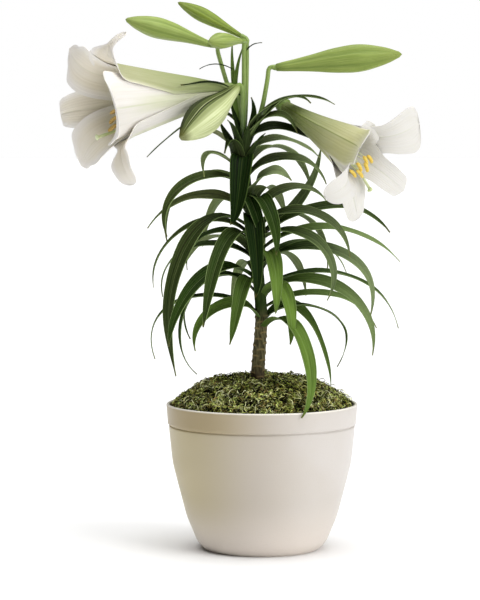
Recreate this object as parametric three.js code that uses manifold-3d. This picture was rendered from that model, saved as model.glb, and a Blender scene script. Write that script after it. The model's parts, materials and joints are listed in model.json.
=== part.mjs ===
// Potted easter lily: an ivory pot of soil and moss, with one leafy stem that bears
// two open trumpet blooms and five buds. Millimetres, +Z up, origin at the centre of
// the pot's flat base, the viewer's side towards -Y.
import * as THREE from 'three';
import { mergeVertices } from 'three/addons/utils/BufferGeometryUtils.js';
import Module from 'manifold-3d';

const wasm = await Module();
wasm.setup();

// Gap kept between pieces that rest against each other, and round what stands in the soil
const GAP = 0.3;
const SOIL_GAP = 0.4;
// Share of a turn that scatters repeated pieces evenly
const GOLDEN = 0.618;

// Pot
const POT_SIDES = 28;
const POT_WALL = 3;
const POT_HEIGHT = 145;
const POT_FLOOR = 4;
const LIP_RADIUS = 95;
const LIP_ROUND = 1.2;
const BAND_BOTTOM = 125;
const BAND_RADIUS = 93.6;
const GROOVE = 1.5;
const GROOVE_RADIUS = 91.7;
const FLOOR_RADIUS = 57;
const DRAIN_HOLE_RADIUS = 5;
const DRAIN_HOLE_RING = 36;
const DRAIN_HOLES = 5;
const DRAIN_HOLE_TURN = 0.3;
const DRAIN_HOLE_SIDES = 12;
// Outer wall below the rim band: [height, radius]
const POT_WALL_CURVE = [
  [0, 57], [3.5, 61], [9.4, 65.3], [33, 75.2], [69, 84.6], [87, 89], [122, 92.6],
];
// Heights at which the inside of the wall, and the soil against it, change their slope
const INNER_HEIGHTS = [9.4, 33, 87, 122];

// Soil and moss
const SOIL_TOP = 134;
const MOSS_RADIUS = 89.6;
const MOSS_EDGE = 141;
const MOSS_CROWN = 171;
const MOSS_RINGS = 5;
const MOSS_SIDES = 26;
// Height at which the hole for the stem through the moss is measured, and its play
const MOSS_HOLE_HEIGHT = 160;
const MOSS_HOLE_PLAY = 0.5;
// Lumps of the moss, how far they fade towards its edge, and its dip round the stem
const MOSS_LUMP = 2.4;
const MOSS_FADE = 30;
const MOSS_DIP = 5;
const MOSS_DIP_RADIUS = 22;

// Stem: [height, x, radius], bare and scarred up to BARE_TOP
const STEM_LINE = [
  [84, -5, 6.4], [160, -5, 7.2], [190, -3.3, 6.7], [217, -1, 6.3], [232, 0, 6.2], [270, -3.5, 6],
  [307, -7, 5.8], [366, -16, 5], [400, -18.5, 4.6], [416, -19, 3.4],
];
const STEM_SIDES = 8;
const SUNK_HEIGHT = 120;
const BARE_BOTTOM = 166;
const BARE_TOP = 226;
const LEAFY_HEIGHTS = [252, 280, 307, 336, 366, 386, 402, 416];
const SCAR_STEP = 6;
const SCAR_DEPTH = 0.45;

// Bulb and roots
const BULB_TOP = 84;
const BULB_BOTTOM = 36;
// Bulb from its bottom to its top: [share of its height, radius]
const BULB_SHAPE = [
  [0, 9], [0.08, 17], [0.25, 25], [0.45, 27], [0.65, 24], [0.82, 17], [0.94, 9.5], [1, 6],
];
const BULB_SIDES = 10;
const ROOTS = 5;
const ROOT_TURN = 0.4;
const ROOT_RADIUS = 1.9;
const ROOT_TAPER = 0.9;

// Leaf blades: thick enough to hold, folded along the midrib
const BLADE = 0.65;
const LEAF_FOLD = 0.24;
// A leaf has one step for each of these lengths, within these limits
const LEAF_STEP = 34;
const LEAF_STEPS_LEAST = 4;
const LEAF_STEPS_MOST = 5;
// Share of a leaf's length over which it turns its face
const TURN_SHARE = 0.4;

// Leaves that the photograph shows. Each: [height on the stem, width, turn in degrees, then three
// points of the midrib on its way out to the tip]
const LEAVES = [
  // left side, from the top down
  [404, 9, -10, [-40, 12, 433], [-84, 22, 416], [-115, 26, 389]],
  [384, 12, 40, [-34, 10, 404], [-49, 20, 414], [-66, 30, 414]],
  [365, 13, -17, [-36, -12, 388], [-53, -26, 393], [-57, -32, 370]],
  [355, 15, -32, [-50, -14, 371], [-88, -30, 352], [-93, -34, 312]],
  [332, 16, -36, [-46, 14, 350], [-82, 30, 345], [-115, 42, 317]],
  [315, 18, -42, [-55, -16, 325], [-84, -26, 279], [-92, -28, 228], [-85, -24, 174]],
  [305, 13, -26, [-50, 12, 326], [-96, 24, 301], [-109, 28, 258]],
  [284, 13, -26, [-46, 18, 302], [-90, 34, 286], [-100, 38, 248]],
  [302, 18, -17, [-26, -26, 316], [-47, -58, 279], [-57, -68, 226]],
  [216, 14, -44, [-22, -10, 245], [-52, -22, 237], [-66, -26, 199]],
  [258, 18, 0, [-14, -28, 271], [-24, -58, 244], [-32, -66, 209]],
  [230, 11, -17, [-47, 8, 251], [-100, 16, 234], [-107, 18, 187]],
  [248, 12, -29, [-49, 8, 270], [-81, 16, 219], [-65, 16, 172]],
  [258, 11, -10, [-37, 20, 271], [-74, 40, 245], [-72, 44, 205]],
  [263, 18, -32, [-39, -22, 281], [-72, -46, 258], [-91, -58, 206]],
  // front
  [372, 24, 0, [-19, -16, 389], [-22, -38, 364], [-31, -44, 324]],
  [311, 19, 0, [-10, -22, 332], [-6, -48, 296], [-7, -54, 254]],
  [331, 18, 10, [-3, -18, 350], [9, -40, 331], [13, -48, 295]],
  [335, 15, 0, [-13, -16, 350], [-6, -30, 334], [0, -36, 303]],
  [281, 19, 0, [6, -18, 297], [13, -44, 272], [13, -50, 238]],
  [244, 18, 10, [17, -18, 263], [27, -36, 240], [27, -42, 207]],
  [216, 19, 0, [20, -24, 230], [43, -60, 198], [37, -91, 141]],
  [223, 16, 55, [31, 24, 240], [62, 44, 196], [71, 52, 154]],
  // right side, from the top down
  [402, 12, 17, [6, -10, 438], [38, -18, 449], [71, -22, 441]],
  [398, 10, 29, [10, -16, 437], [35, -28, 449], [47, -34, 442]],
  [394, 13, 36, [0, -12, 426], [19, -26, 431], [34, -34, 413]],
  [386, 15, 35, [2, -4, 417], [35, -10, 415], [65, -14, 397]],
  [376, 13, 26, [6, 6, 406], [34, 14, 404], [58, 18, 388]],
  [365, 15, 35, [8, 4, 386], [44, 10, 385], [64, 12, 362]],
  [347, 18, 44, [0, -16, 370], [16, -34, 376], [28, -44, 367]],
  [325, 13, 38, [18, 8, 356], [44, 16, 359], [66, 20, 343]],
  [309, 13, 40, [23, 14, 330], [46, 24, 358], [59, 28, 399]],
  [304, 15, 35, [37, -4, 334], [89, -8, 340], [126, -10, 315]],
  [315, 15, 32, [25, -14, 336], [62, -28, 330], [86, -36, 292]],
  [292, 14, 26, [40, 6, 317], [90, 12, 315], [138, 16, 285]],
  [299, 16, 22, [29, -26, 317], [63, -50, 296], [63, -54, 251]],
  [275, 16, 35, [42, -14, 301], [95, -30, 284], [105, -34, 232]],
  [258, 12, 17, [50, 6, 275], [106, 14, 262], [137, 18, 218]],
  [248, 16, 38, [45, -16, 269], [88, -32, 253], [108, -38, 196]],
  [238, 13, 26, [41, 8, 253], [83, 16, 248], [115, 20, 218]],
  [226, 10, 10, [43, 16, 241], [78, 28, 225], [76, 30, 178]],
  [285, 12, 26, [28, 18, 301], [61, 36, 300], [86, 46, 272]],
  // close round the stem at the crown
  [384, 10, 0, [-23, -9, 398], [-26, -14, 412], [-34, -17, 426]],
  [366, 19, 0, [-25, -9, 390], [-31, -18, 406], [-37, -23, 393]],
  [375, 11, 0, [-17, -9, 395], [-15, -11, 409], [-13, -10, 422]],
  [368, 10, 0, [-10, -8, 394], [-3, -10, 406], [3, -10, 413]],
  [384, 10, -50, [-31, 4, 403], [-38, 3, 416], [-42, 2, 425]],
  [296, 13, -20, [-34, -4, 316], [-62, -10, 309], [-74, -14, 278]],
];

// Leaves behind, which the photograph barely shows, by a rule round the back of the stem
const BACK_LEAVES = 11;
const BACK_LOWEST = 246;
const BACK_HIGHEST = 376;
const BACK_FROM = 32;
const BACK_SWEEP = 116;
const BACK_LENGTH = 112;
const BACK_LENGTH_SPREAD = 46;
const BACK_WIDTH = 13;
const BACK_WIDTH_SPREAD = 4;

// Narrow bracts among the flower stalks: [width, turn in degrees, then points from root to tip]
const BRACTS = [
  [5.5, -68, [-19, 6, 408], [-26, 9, 448], [-29, 10, 474], [-29, 9, 506]],
  [5.5, -60, [-19, 5, 408], [-27, 7, 450], [-26, 9, 468], [-18, 12, 500]],
  [9, 75, [-18, -2, 398], [-10, -3, 420], [-8, -4, 435], [-11, -4, 448]],
  [7, -75, [-19, -3, 398], [-24, -5, 420], [-28, -6, 433], [-31, -6, 444]],
  [2.2, 0, [-29, 9, 476], [-38, 8, 480], [-48, 6, 481], [-62, 4, 476]],
  [2.2, 0, [-16, 8, 490], [-11, 5, 499], [-7, 4, 501], [0, 3, 502]],
  [2.6, -50, [-19, -11, 448], [-40, -24, 461], [-61, -49, 462], [-78, -74, 459]],
];

// Flower stalks, from the stem's top to the base of their flower or bud, and their end radius
const STALKS = {
  left_bloom: [2.8, [-19, 1, 398], [-20, 6, 428], [-22, 6, 446], [-28, 2, 455]],
  right_bloom: [2.6, [-18, 3, 392], [-8, 8, 416], [3, 11, 434], [18, 8, 441]],
  right_bud: [2.2, [-17, -2, 400], [-6, -3, 422], [0, -3, 438], [5, -2, 464], [11, -2, 477]],
  left_bud: [2.1, [-19, 4, 402], [-26, 11, 440], [-34, 14, 460], [-43, 11, 490], [-48, 7, 499]],
  top_bud: [2, [-18, 3, 402], [-16, 6, 440], [-15, 7, 480], [-15, 8, 500], [-18, 9, 507]],
  front_bud: [2, [-18, 1, 402], [-18, 1, 440], [-18, 1, 480], [-18, 0, 499], [-19, -4, 503]],
  low_bud: [2.6, [-19, -1, 400], [-19, -8, 434], [-19, -13, 453], [-24, -17, 458]],
};
const STALK_SIDES = 5;
const STALK_STEPS = 5;
// Straight end of a stalk, in line with its flower or bud
const STALK_NECK = 4;

// Buds: [radius, base, a point on the way, tip]
const BUDS = {
  right_bud: [14, [11, -2, 477], [72, -6, 484], [137, -14, 490]],
  left_bud: [10.5, [-48, 7, 499], [-88, -12, 512], [-133, -35, 523]],
  top_bud: [7.4, [-18, 9, 507], [-50, 22, 525], [-84, 35, 543]],
  front_bud: [8.2, [-19, -4, 503], [-34, -24, 503], [-52, -46, 501]],
  low_bud: [16.5, [-24, -17, 458], [-46, -56, 436], [-78, -100, 408]],
};
// A bud's girth on its way from base to tip: [share of its length, share of its radius]
const BUD_GIRTH = [
  [0, 0.2], [0.04, 0.31], [0.15, 0.41], [0.3, 0.6], [0.46, 0.86], [0.62, 1], [0.72, 0.94],
  [0.82, 0.73], [0.91, 0.5], [1, 0.1],
];
const BUD_SIDES = 10;
const BUD_STEPS = 8;
const BUD_RIDGE = 0.06;

// Blooms: base and mouth centre of the trumpet, slopes of its tube in degrees at its foot and
// mouth, and where the anthers and the stigma hang, from the mouth's centre as [sideways, up,
// forward], with the row that the anthers make and the way they lie, and how much of the stigma's
// drop the style has made in the tube and at the mouth. Tepals by turns inner and outer, each:
// [angle round the axis, free length, curl of its tip in degrees, swing of its tip in degrees,
// start of its bend after the mouth, bluntness of its tip, then its widths at the mouth and at
// each further quarter of its free length]
const BLOOMS = {
  left_bloom: {
    base: [-28, 2, 455],
    mouth: [-145, -97, 441],
    slopes: [11, 13],
    anthers: [12, -15, 5],
    antherRow: [5, 10],
    antherWay: [11, 5, -2],
    stigma: [-4, -31, 16],
    styleDrop: [0.55, 0.9],
    tepals: [
      [356, 46, 57, 20, 16, 2.5, 72, 80, 78, 58], [76, 46, 150, -32, -8, 2, 58, 50, 13, 7],
      [131, 40, 105, 3, -15, 1.3, 50, 50, 46, 26], [187, 51, 130, 2, -15, 3, 38, 34, 28, 20],
      [236, 40, 100, -3, -15, 1.2, 52, 50, 46, 28], [298, 52, 118, -10, -15, 2, 40, 14, 30, 26],
    ],
  },
  right_bloom: {
    base: [18, 8, 441],
    mouth: [86, -73, 397],
    slopes: [4, 14],
    anthers: [5, -12, 14],
    antherRow: [6, 9],
    antherWay: [7, -8, 3],
    stigma: [12, -31, 27],
    styleDrop: [0.12, 0.54],
    tepals: [
      [62, 14, 120, -4, 0, 2, 40, 36, 30, 24], [147, 58, 44, 18, 12, 3, 44, 46, 44, 34],
      [208, 70, 128, 12, 22, 2, 46, 44, 40, 32], [264, 56, 105, 44, -12, 2, 42, 34, 28, 22],
      [331, 58, 95, 0, -12, 2, 42, 28, 26, 24], [32, 52, 95, -2, -15, 3, 38, 34, 44, 54],
    ],
  },
};
const TEPAL = 0.7;
const TEPAL_BASE_RADIUS = 5.8;
const WHORL_STEP = 2.2;
// Rows of a tepal's solid beyond the mouth, as shares of its free part; its first row is at the
// foot of the tube
const FREE_STATIONS = [0, 0.25, 0.5, 0.72, 0.9, 1];
// Small steps in which a tepal's way is followed
const FOLLOWED = 240;
// From this share of its free length, a tepal closes to its tip
const CLOSING = 0.75;
const TEPAL_ACROSS = [-1, -0.5, 0, 0.5, 1];
const OUTER_SPAN = 68;
const INNER_SPAN = 56;
// Ruffles: their depth, and how fast they follow each other along a tepal
const RUFFLE = 1.6;
const RUFFLES = 19;
// A tepal's bend across it where it is fully open, and its least width
const OPEN_BEND = 0.008;
const LEAST_WIDTH = 1.6;
// Foot of a bloom: its length, then [share of its length, radius]
const RECEPTACLE = 15;
const RECEPTACLE_SHAPE = [[0, 3], [0.15, 6.8], [0.4, 8.7], [0.7, 6], [1, 1]];
const RECEPTACLE_SIDES = 8;

// Stamens and pistil
const STAMENS = 6;
const KNOB_LENGTH = 6;
const KNOB_RADIUS = 3;
const FILAMENT_RADIUS = 0.8;
// Filaments start in a ring on the knob, spread a little in the tube and end in their row
const FILAMENT_RING = 1.4;
const FILAMENT_SPREAD = 3;
const STYLE_RADIUS = 1.3;
const STIGMA_RADIUS = 3;
const ANTHER_LENGTH = 11;
const ANTHER_RADIUS = 1.8;
// Anthers hang by turns to either side of their row
const ANTHER_BESIDE = 2.6;
const ANTHER_STAGGER = 4;

const UP = new THREE.Vector3(0, 0, 1);
const vec = (point) => new THREE.Vector3(...point);
const radians = THREE.MathUtils.degToRad;
const smooth = THREE.MathUtils.smoothstep;
const fraction = (value) => value - Math.floor(value);

// Closed meshes and their joins

function closedMesh(positions, indices) {
  const geometry = new THREE.BufferGeometry();
  geometry.setAttribute('position', new THREE.Float32BufferAttribute(positions, 3));
  geometry.setIndex(indices);
  return geometry;
}

function toSolid(geometry) {
  const bare = geometry.clone();
  bare.deleteAttribute('normal');
  bare.deleteAttribute('uv');
  const merged = mergeVertices(bare, 1e-4);
  const solid = new wasm.Manifold(new wasm.Mesh({
    numProp: 3,
    vertProperties: new Float32Array(merged.attributes.position.array),
    triVerts: new Uint32Array(merged.index.array),
  }));
  return solid;
}

function toGeometry(solid) {
  const mesh = solid.getMesh();
  return closedMesh(mesh.vertProperties, Array.from(mesh.triVerts));
}

function join(geometries) {
  let whole = toSolid(geometries[0]);
  for (const geometry of geometries.slice(1)) {
    whole = whole.add(toSolid(geometry));
  }
  return whole;
}

// A skin over rings of points, each ring closed and alike, with a fan at either end
function skinOverRings(rings) {
  const sides = rings[0].length;
  const positions = rings.flat().flatMap((point) => point.toArray());
  const indices = [];
  for (let ring = 0; ring < rings.length - 1; ring += 1) {
    for (let side = 0; side < sides; side += 1) {
      const next = (side + 1) % sides;
      const a = ring * sides + side;
      const b = ring * sides + next;
      indices.push(a, b, b + sides, a, b + sides, a + sides);
    }
  }
  for (const [first, flip] of [[0, true], [(rings.length - 1) * sides, false]]) {
    const ring = rings[first / sides];
    const centre = ring.reduce((sum, point) => sum.add(point), new THREE.Vector3()).divideScalar(sides);
    const middle = positions.length / 3;
    positions.push(...centre.toArray());
    for (let side = 0; side < sides; side += 1) {
      const a = first + side;
      const b = first + (side + 1) % sides;
      indices.push(...(flip ? [middle, b, a] : [middle, a, b]));
    }
  }
  return closedMesh(positions, indices);
}

// A blade between two faces of points, given as rows from base to tip
function bladeBetween(upper, lower) {
  const rows = upper.length;
  const across = upper[0].length;
  const positions = [...upper, ...lower].flat().flatMap((point) => point.toArray());
  const indices = [];
  const top = (row, column) => row * across + column;
  const under = (row, column) => (rows + row) * across + column;
  for (let row = 0; row < rows - 1; row += 1) {
    for (let column = 0; column < across - 1; column += 1) {
      const a = top(row, column);
      const b = top(row + 1, column);
      const c = top(row + 1, column + 1);
      const d = top(row, column + 1);
      const lift = rows * across;
      indices.push(a, b, c, a, c, d);
      indices.push(a + lift, c + lift, b + lift, a + lift, d + lift, c + lift);
    }
    const last = across - 1;
    indices.push(top(row, 0), under(row, 0), under(row + 1, 0));
    indices.push(top(row, 0), under(row + 1, 0), top(row + 1, 0));
    indices.push(top(row, last), under(row + 1, last), under(row, last));
    indices.push(top(row, last), top(row + 1, last), under(row + 1, last));
  }
  for (let column = 0; column < across - 1; column += 1) {
    const end = rows - 1;
    indices.push(top(0, column), top(0, column + 1), under(0, column + 1));
    indices.push(top(0, column), under(0, column + 1), under(0, column));
    indices.push(top(end, column), under(end, column + 1), top(end, column + 1));
    indices.push(top(end, column), under(end, column), under(end, column + 1));
  }
  return closedMesh(positions, indices);
}

function through(points) {
  return new THREE.CatmullRomCurve3(points.map(vec), false, 'catmullrom', 0.5);
}

// One even bend through a few points: the polynomial that meets each at its distance along them
function evenBend(list) {
  const points = list.map(vec);
  const knots = [0];
  for (let index = 1; index < points.length; index += 1) {
    knots.push(knots[index - 1] + points[index].distanceTo(points[index - 1]));
  }
  const length = knots[knots.length - 1];
  const at = (share) => {
    const sum = new THREE.Vector3();
    points.forEach((point, index) => {
      let weight = 1;
      knots.forEach((knot, other) => {
        weight *= other === index ? 1 : (share * length - knot) / (knots[index] - knot);
      });
      sum.addScaledVector(point, weight);
    });
    return sum;
  };
  const along = (share) => at(share + 0.01).sub(at(share - 0.01)).normalize();
  return { at, along, length };
}

// A tube along a line of points, its radius given as a function of the share of its length
function tubeAlong(curve, radiusAt, sides, steps, ridgeAt = () => 1) {
  const frames = curve.computeFrenetFrames(steps, false);
  const rings = [];
  for (let step = 0; step <= steps; step += 1) {
    const share = step / steps;
    const centre = curve.getPointAt(share);
    const ring = [];
    for (let side = 0; side < sides; side += 1) {
      const angle = (side / sides) * Math.PI * 2;
      const radius = radiusAt(share) * ridgeAt(side);
      const point = centre.clone();
      point.addScaledVector(frames.normals[step], Math.cos(angle) * radius);
      point.addScaledVector(frames.binormals[step], Math.sin(angle) * radius);
      ring.push(point);
    }
    rings.push(ring);
  }
  return skinOverRings(rings);
}

function valueAlong(stations, share, column = 1) {
  let index = 1;
  while (index < stations.length - 1 && stations[index][0] < share) {
    index += 1;
  }
  const before = stations[index - 1];
  const after = stations[index];
  const blend = (share - before[0]) / (after[0] - before[0]);
  return THREE.MathUtils.lerp(before[column], after[column], THREE.MathUtils.clamp(blend, 0, 1));
}

// Pot, soil and moss

function wallRadius(height) {
  if (height >= BAND_BOTTOM) {
    return THREE.MathUtils.mapLinear(height, BAND_BOTTOM, POT_HEIGHT, BAND_RADIUS, LIP_RADIUS);
  }
  return valueAlong(POT_WALL_CURVE, height);
}

function innerRadius(height) {
  return wallRadius(height) - POT_WALL;
}

function potProfile() {
  const outer = POT_WALL_CURVE.map(([height, radius]) => [radius, height]);
  const groove = [
    [GROOVE_RADIUS, BAND_BOTTOM - GROOVE], [GROOVE_RADIUS, BAND_BOTTOM - 0.3], [BAND_RADIUS, BAND_BOTTOM],
  ];
  const lip = [
    [LIP_RADIUS, POT_HEIGHT - LIP_ROUND], [LIP_RADIUS - LIP_ROUND, POT_HEIGHT],
    [LIP_RADIUS - POT_WALL + LIP_ROUND, POT_HEIGHT], [LIP_RADIUS - POT_WALL, POT_HEIGHT - LIP_ROUND],
  ];
  const inner = INNER_HEIGHTS.map((height) => [innerRadius(height), height]).reverse();
  return [[0, 0], ...outer, ...groove, ...lip, ...inner, [FLOOR_RADIUS, POT_FLOOR], [0, POT_FLOOR]];
}

function turned(profile, sides) {
  const points = profile.map(([radius, height]) => new THREE.Vector2(radius, height));
  const geometry = new THREE.LatheGeometry(points, sides);
  geometry.rotateX(Math.PI / 2);
  return geometry;
}

function potGeometry() {
  let pot = toSolid(turned(potProfile(), POT_SIDES));
  for (let hole = 0; hole < DRAIN_HOLES; hole += 1) {
    const angle = (hole / DRAIN_HOLES) * Math.PI * 2 + DRAIN_HOLE_TURN;
    const drill = new THREE.CylinderGeometry(
      DRAIN_HOLE_RADIUS, DRAIN_HOLE_RADIUS, POT_FLOOR * 3, DRAIN_HOLE_SIDES,
    );
    drill.rotateX(Math.PI / 2);
    drill.translate(Math.cos(angle) * DRAIN_HOLE_RING, Math.sin(angle) * DRAIN_HOLE_RING, 0);
    pot = pot.subtract(toSolid(drill));
  }
  return toGeometry(pot);
}

function soilGeometry() {
  const side = [...INNER_HEIGHTS, SOIL_TOP].map((height) => [innerRadius(height) - GAP * 2, height]);
  const profile = [[0, POT_FLOOR + GAP], [FLOOR_RADIUS - 1, POT_FLOOR + GAP], ...side, [0, SOIL_TOP]];
  let soil = toSolid(turned(profile, POT_SIDES));
  for (const hollow of [stemTube(SOIL_GAP), bulbBody(SOIL_GAP), ...rootTubes(SOIL_GAP)]) {
    soil = soil.subtract(toSolid(hollow));
  }
  return toGeometry(soil);
}

function mossHeight(radius, angle) {
  const dome = MOSS_EDGE + (MOSS_CROWN - MOSS_EDGE) * (1 - (radius / MOSS_RADIUS) ** 3);
  const lumps = Math.sin(angle * 5 + radius * 0.21) * Math.cos(angle * 3 - radius * 0.13);
  const dip = MOSS_DIP * Math.exp(-((radius / MOSS_DIP_RADIUS) ** 2));
  return dome + lumps * MOSS_LUMP * smooth(MOSS_RADIUS - radius, 0, MOSS_FADE) - dip;
}

function mossGeometry() {
  const rings = [];
  const hollow = valueAlong(STEM_LINE, MOSS_HOLE_HEIGHT, 2) + MOSS_HOLE_PLAY;
  const centre = valueAlong(STEM_LINE, MOSS_HOLE_HEIGHT);
  const place = (radius, angle, height) => {
    const shift = centre * (1 - smooth(radius, hollow, MOSS_RADIUS));
    return new THREE.Vector3(Math.cos(angle) * radius + shift, Math.sin(angle) * radius, height);
  };
  const ringAt = (radius, heightAt) => {
    const ring = [];
    for (let side = 0; side < MOSS_SIDES; side += 1) {
      const angle = (side / MOSS_SIDES) * Math.PI * 2;
      ring.push(place(radius, angle, heightAt(radius, angle)));
    }
    return ring;
  };
  const floor = () => SOIL_TOP + GAP;
  rings.push(ringAt(MOSS_RADIUS, floor));
  for (let ring = MOSS_RINGS; ring >= 0; ring -= 1) {
    const radius = hollow + ((MOSS_RADIUS - hollow) * ring) / MOSS_RINGS;
    rings.push(ringAt(radius, mossHeight));
  }
  rings.push(ringAt(hollow, floor));
  return ringOfRings(rings);
}

// A body with a hole through it: its last ring joins its first
function ringOfRings(rings) {
  const sides = rings[0].length;
  const positions = rings.flat().flatMap((point) => point.toArray());
  const indices = [];
  for (let ring = 0; ring < rings.length; ring += 1) {
    const beyond = (ring + 1) % rings.length;
    for (let side = 0; side < sides; side += 1) {
      const next = (side + 1) % sides;
      const a = ring * sides + side;
      const b = ring * sides + next;
      const c = beyond * sides + next;
      const d = beyond * sides + side;
      indices.push(a, b, c, a, c, d);
    }
  }
  return closedMesh(positions, indices);
}

// Bulb, roots and stem

function bulbBody(extra) {
  const rings = [];
  const centre = valueAlong(STEM_LINE, BULB_TOP);
  BULB_SHAPE.forEach(([share, radius]) => {
    const height = THREE.MathUtils.lerp(BULB_BOTTOM - extra, BULB_TOP - GAP + extra, share);
    const ring = [];
    for (let side = 0; side < BULB_SIDES; side += 1) {
      const angle = (side / BULB_SIDES) * Math.PI * 2;
      const scale = 1 + (side % 2 ? 0.02 : -0.03);
      const reach = radius * scale + extra;
      ring.push(new THREE.Vector3(centre + Math.cos(angle) * reach, Math.sin(angle) * reach, height));
    }
    rings.push(ring);
  });
  return skinOverRings(rings);
}

function rootTubes(extra) {
  const centre = valueAlong(STEM_LINE, BULB_TOP);
  const tubes = [];
  for (let root = 0; root < ROOTS; root += 1) {
    const angle = (root / ROOTS) * Math.PI * 2 + ROOT_TURN;
    const reach = 26 + 14 * fraction(root * GOLDEN);
    const out = (distance, height) => [
      centre + Math.cos(angle) * distance, Math.sin(angle) * distance, height,
    ];
    const curve = through([out(6, BULB_BOTTOM + 5), out(14, 27), out(reach, 17), out(reach + 9, 10)]);
    tubes.push(tubeAlong(curve, (share) => ROOT_RADIUS - share * ROOT_TAPER + extra, 4, 4));
  }
  return tubes;
}

function bulbGeometry() {
  return toGeometry(join([bulbBody(0), ...rootTubes(0)]));
}

function stemHeights() {
  const heights = [BULB_TOP, SUNK_HEIGHT];
  for (let height = BARE_BOTTOM; height <= BARE_TOP; height += SCAR_STEP) {
    heights.push(height);
  }
  return [...heights, ...LEAFY_HEIGHTS];
}

function stemTube(extra) {
  const rings = stemHeights().map((height, index) => {
    const bare = height >= BARE_BOTTOM && height <= BARE_TOP;
    const scar = bare && index % 2 ? SCAR_DEPTH : 0;
    const centre = valueAlong(STEM_LINE, height);
    const radius = valueAlong(STEM_LINE, height, 2) + extra;
    const ring = [];
    for (let side = 0; side < STEM_SIDES; side += 1) {
      const angle = (side / STEM_SIDES) * Math.PI * 2;
      const reach = radius + (side % 2 ? scar : -scar);
      ring.push(new THREE.Vector3(centre + Math.cos(angle) * reach, Math.sin(angle) * reach, height));
    }
    return ring;
  });
  return skinOverRings(rings);
}

// Leaves, bracts and stalks

function leafWidth(share) {
  const rise = 0.38 + 0.62 * Math.sin((Math.min(share / 0.4, 1) * Math.PI) / 2);
  return rise * (1 - share ** 2.8);
}

function leafBlade(width, turn, points) {
  const line = evenBend(points);
  const plan = vec(points[2]).sub(vec(points[0])).setZ(0).normalize();
  const level = new THREE.Vector3().crossVectors(UP, plan);
  const wanted = Math.round(line.length / LEAF_STEP);
  const steps = THREE.MathUtils.clamp(wanted, LEAF_STEPS_LEAST, LEAF_STEPS_MOST);
  const upper = [];
  const lower = [];
  for (let step = 0; step <= steps; step += 1) {
    const share = step / steps;
    const centre = line.at(share);
    const along = line.along(share);
    const side = level.clone().addScaledVector(along, -level.dot(along)).normalize();
    const face = new THREE.Vector3().crossVectors(along, side);
    const angle = radians(turn * smooth(share, 0, TURN_SHARE));
    side.applyAxisAngle(along, angle);
    face.applyAxisAngle(along, angle);
    const half = Math.max(width * leafWidth(share), 1) / 2;
    const lift = half * LEAF_FOLD * (2 - share);
    const row = [-half, 0, half].map((offset) => {
      const point = centre.clone().addScaledVector(side, offset);
      return point.addScaledVector(face, offset === 0 ? 0 : lift);
    });
    upper.push(row);
    lower.push(row.map((point) => point.clone().addScaledVector(face, -BLADE)));
  }
  return bladeBetween(upper, lower);
}

function stemPoint(height) {
  return [valueAlong(STEM_LINE, height), 0, height];
}

function backLeaf(index) {
  const height = BACK_LOWEST + ((BACK_HIGHEST - BACK_LOWEST) * index) / (BACK_LEAVES - 1);
  const angle = radians(BACK_FROM + BACK_SWEEP * fraction(index * GOLDEN));
  const length = BACK_LENGTH + BACK_LENGTH_SPREAD * fraction(index * 0.414 + 0.3);
  const droop = fraction(index * 0.732);
  const root = stemPoint(height);
  const out = (distance, rise) => [
    root[0] + Math.cos(angle) * distance, Math.sin(angle) * distance, height + rise,
  ];
  const points = [
    root,
    out(length * 0.3, length * 0.17),
    out(length * 0.64, length * (0.13 - 0.1 * droop)),
    out(length * (0.92 - 0.2 * droop), length * (-0.06 - 0.34 * droop)),
  ];
  return leafBlade(BACK_WIDTH + BACK_WIDTH_SPREAD * fraction(index * 0.27), 0, points);
}

// A stalk ends square to the flower or bud that it bears
function stalkTube(name) {
  const [endRadius, ...points] = STALKS[name];
  const end = vec(points[points.length - 1]);
  const ahead = BUDS[name] ? BUDS[name][2] : BLOOMS[name].mouth;
  const heading = vec(ahead).sub(end).setLength(STALK_NECK);
  const curve = through([...points.slice(0, -1), end.clone().sub(heading).toArray(), end.toArray()]);
  return tubeAlong(curve, (share) => endRadius * (1.15 - 0.15 * share), STALK_SIDES, STALK_STEPS);
}

function leafyStemGeometry() {
  const pieces = [stemTube(0)];
  for (const [height, width, turn, ...points] of LEAVES) {
    pieces.push(leafBlade(width, turn, [stemPoint(height), ...points]));
  }
  for (let index = 0; index < BACK_LEAVES; index += 1) {
    pieces.push(backLeaf(index));
  }
  for (const [width, turn, ...points] of BRACTS) {
    pieces.push(leafBlade(width, turn, points));
  }
  for (const name of Object.keys(STALKS)) {
    pieces.push(stalkTube(name));
  }
  return toGeometry(join(pieces));
}

// Buds

function budGeometry([radius, ...points]) {
  const [base, middle] = points.map(vec);
  const start = base.clone().addScaledVector(middle.clone().sub(base).normalize(), GAP);
  const curve = through([start.toArray(), ...points.slice(1)]);
  const girth = (share) => radius * valueAlong(BUD_GIRTH, share);
  const ridge = (side) => 1 + (side % 2 ? -BUD_RIDGE : BUD_RIDGE);
  return tubeAlong(curve, girth, BUD_SIDES, BUD_STEPS, ridge);
}

// Blooms

function bloomFrame(bloom) {
  const base = vec(bloom.base);
  const axis = vec(bloom.mouth).sub(base);
  const length = axis.length();
  axis.normalize();
  const east = new THREE.Vector3().crossVectors(UP, axis).normalize();
  const north = new THREE.Vector3().crossVectors(axis, east);
  base.addScaledVector(axis, GAP);
  return { base, axis, length, east, north };
}

function around(frame, angle) {
  const outward = frame.east.clone().multiplyScalar(Math.cos(angle));
  outward.addScaledVector(frame.north, Math.sin(angle));
  const across = frame.east.clone().multiplyScalar(-Math.sin(angle));
  across.addScaledVector(frame.north, Math.cos(angle));
  return { outward, across };
}

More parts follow.
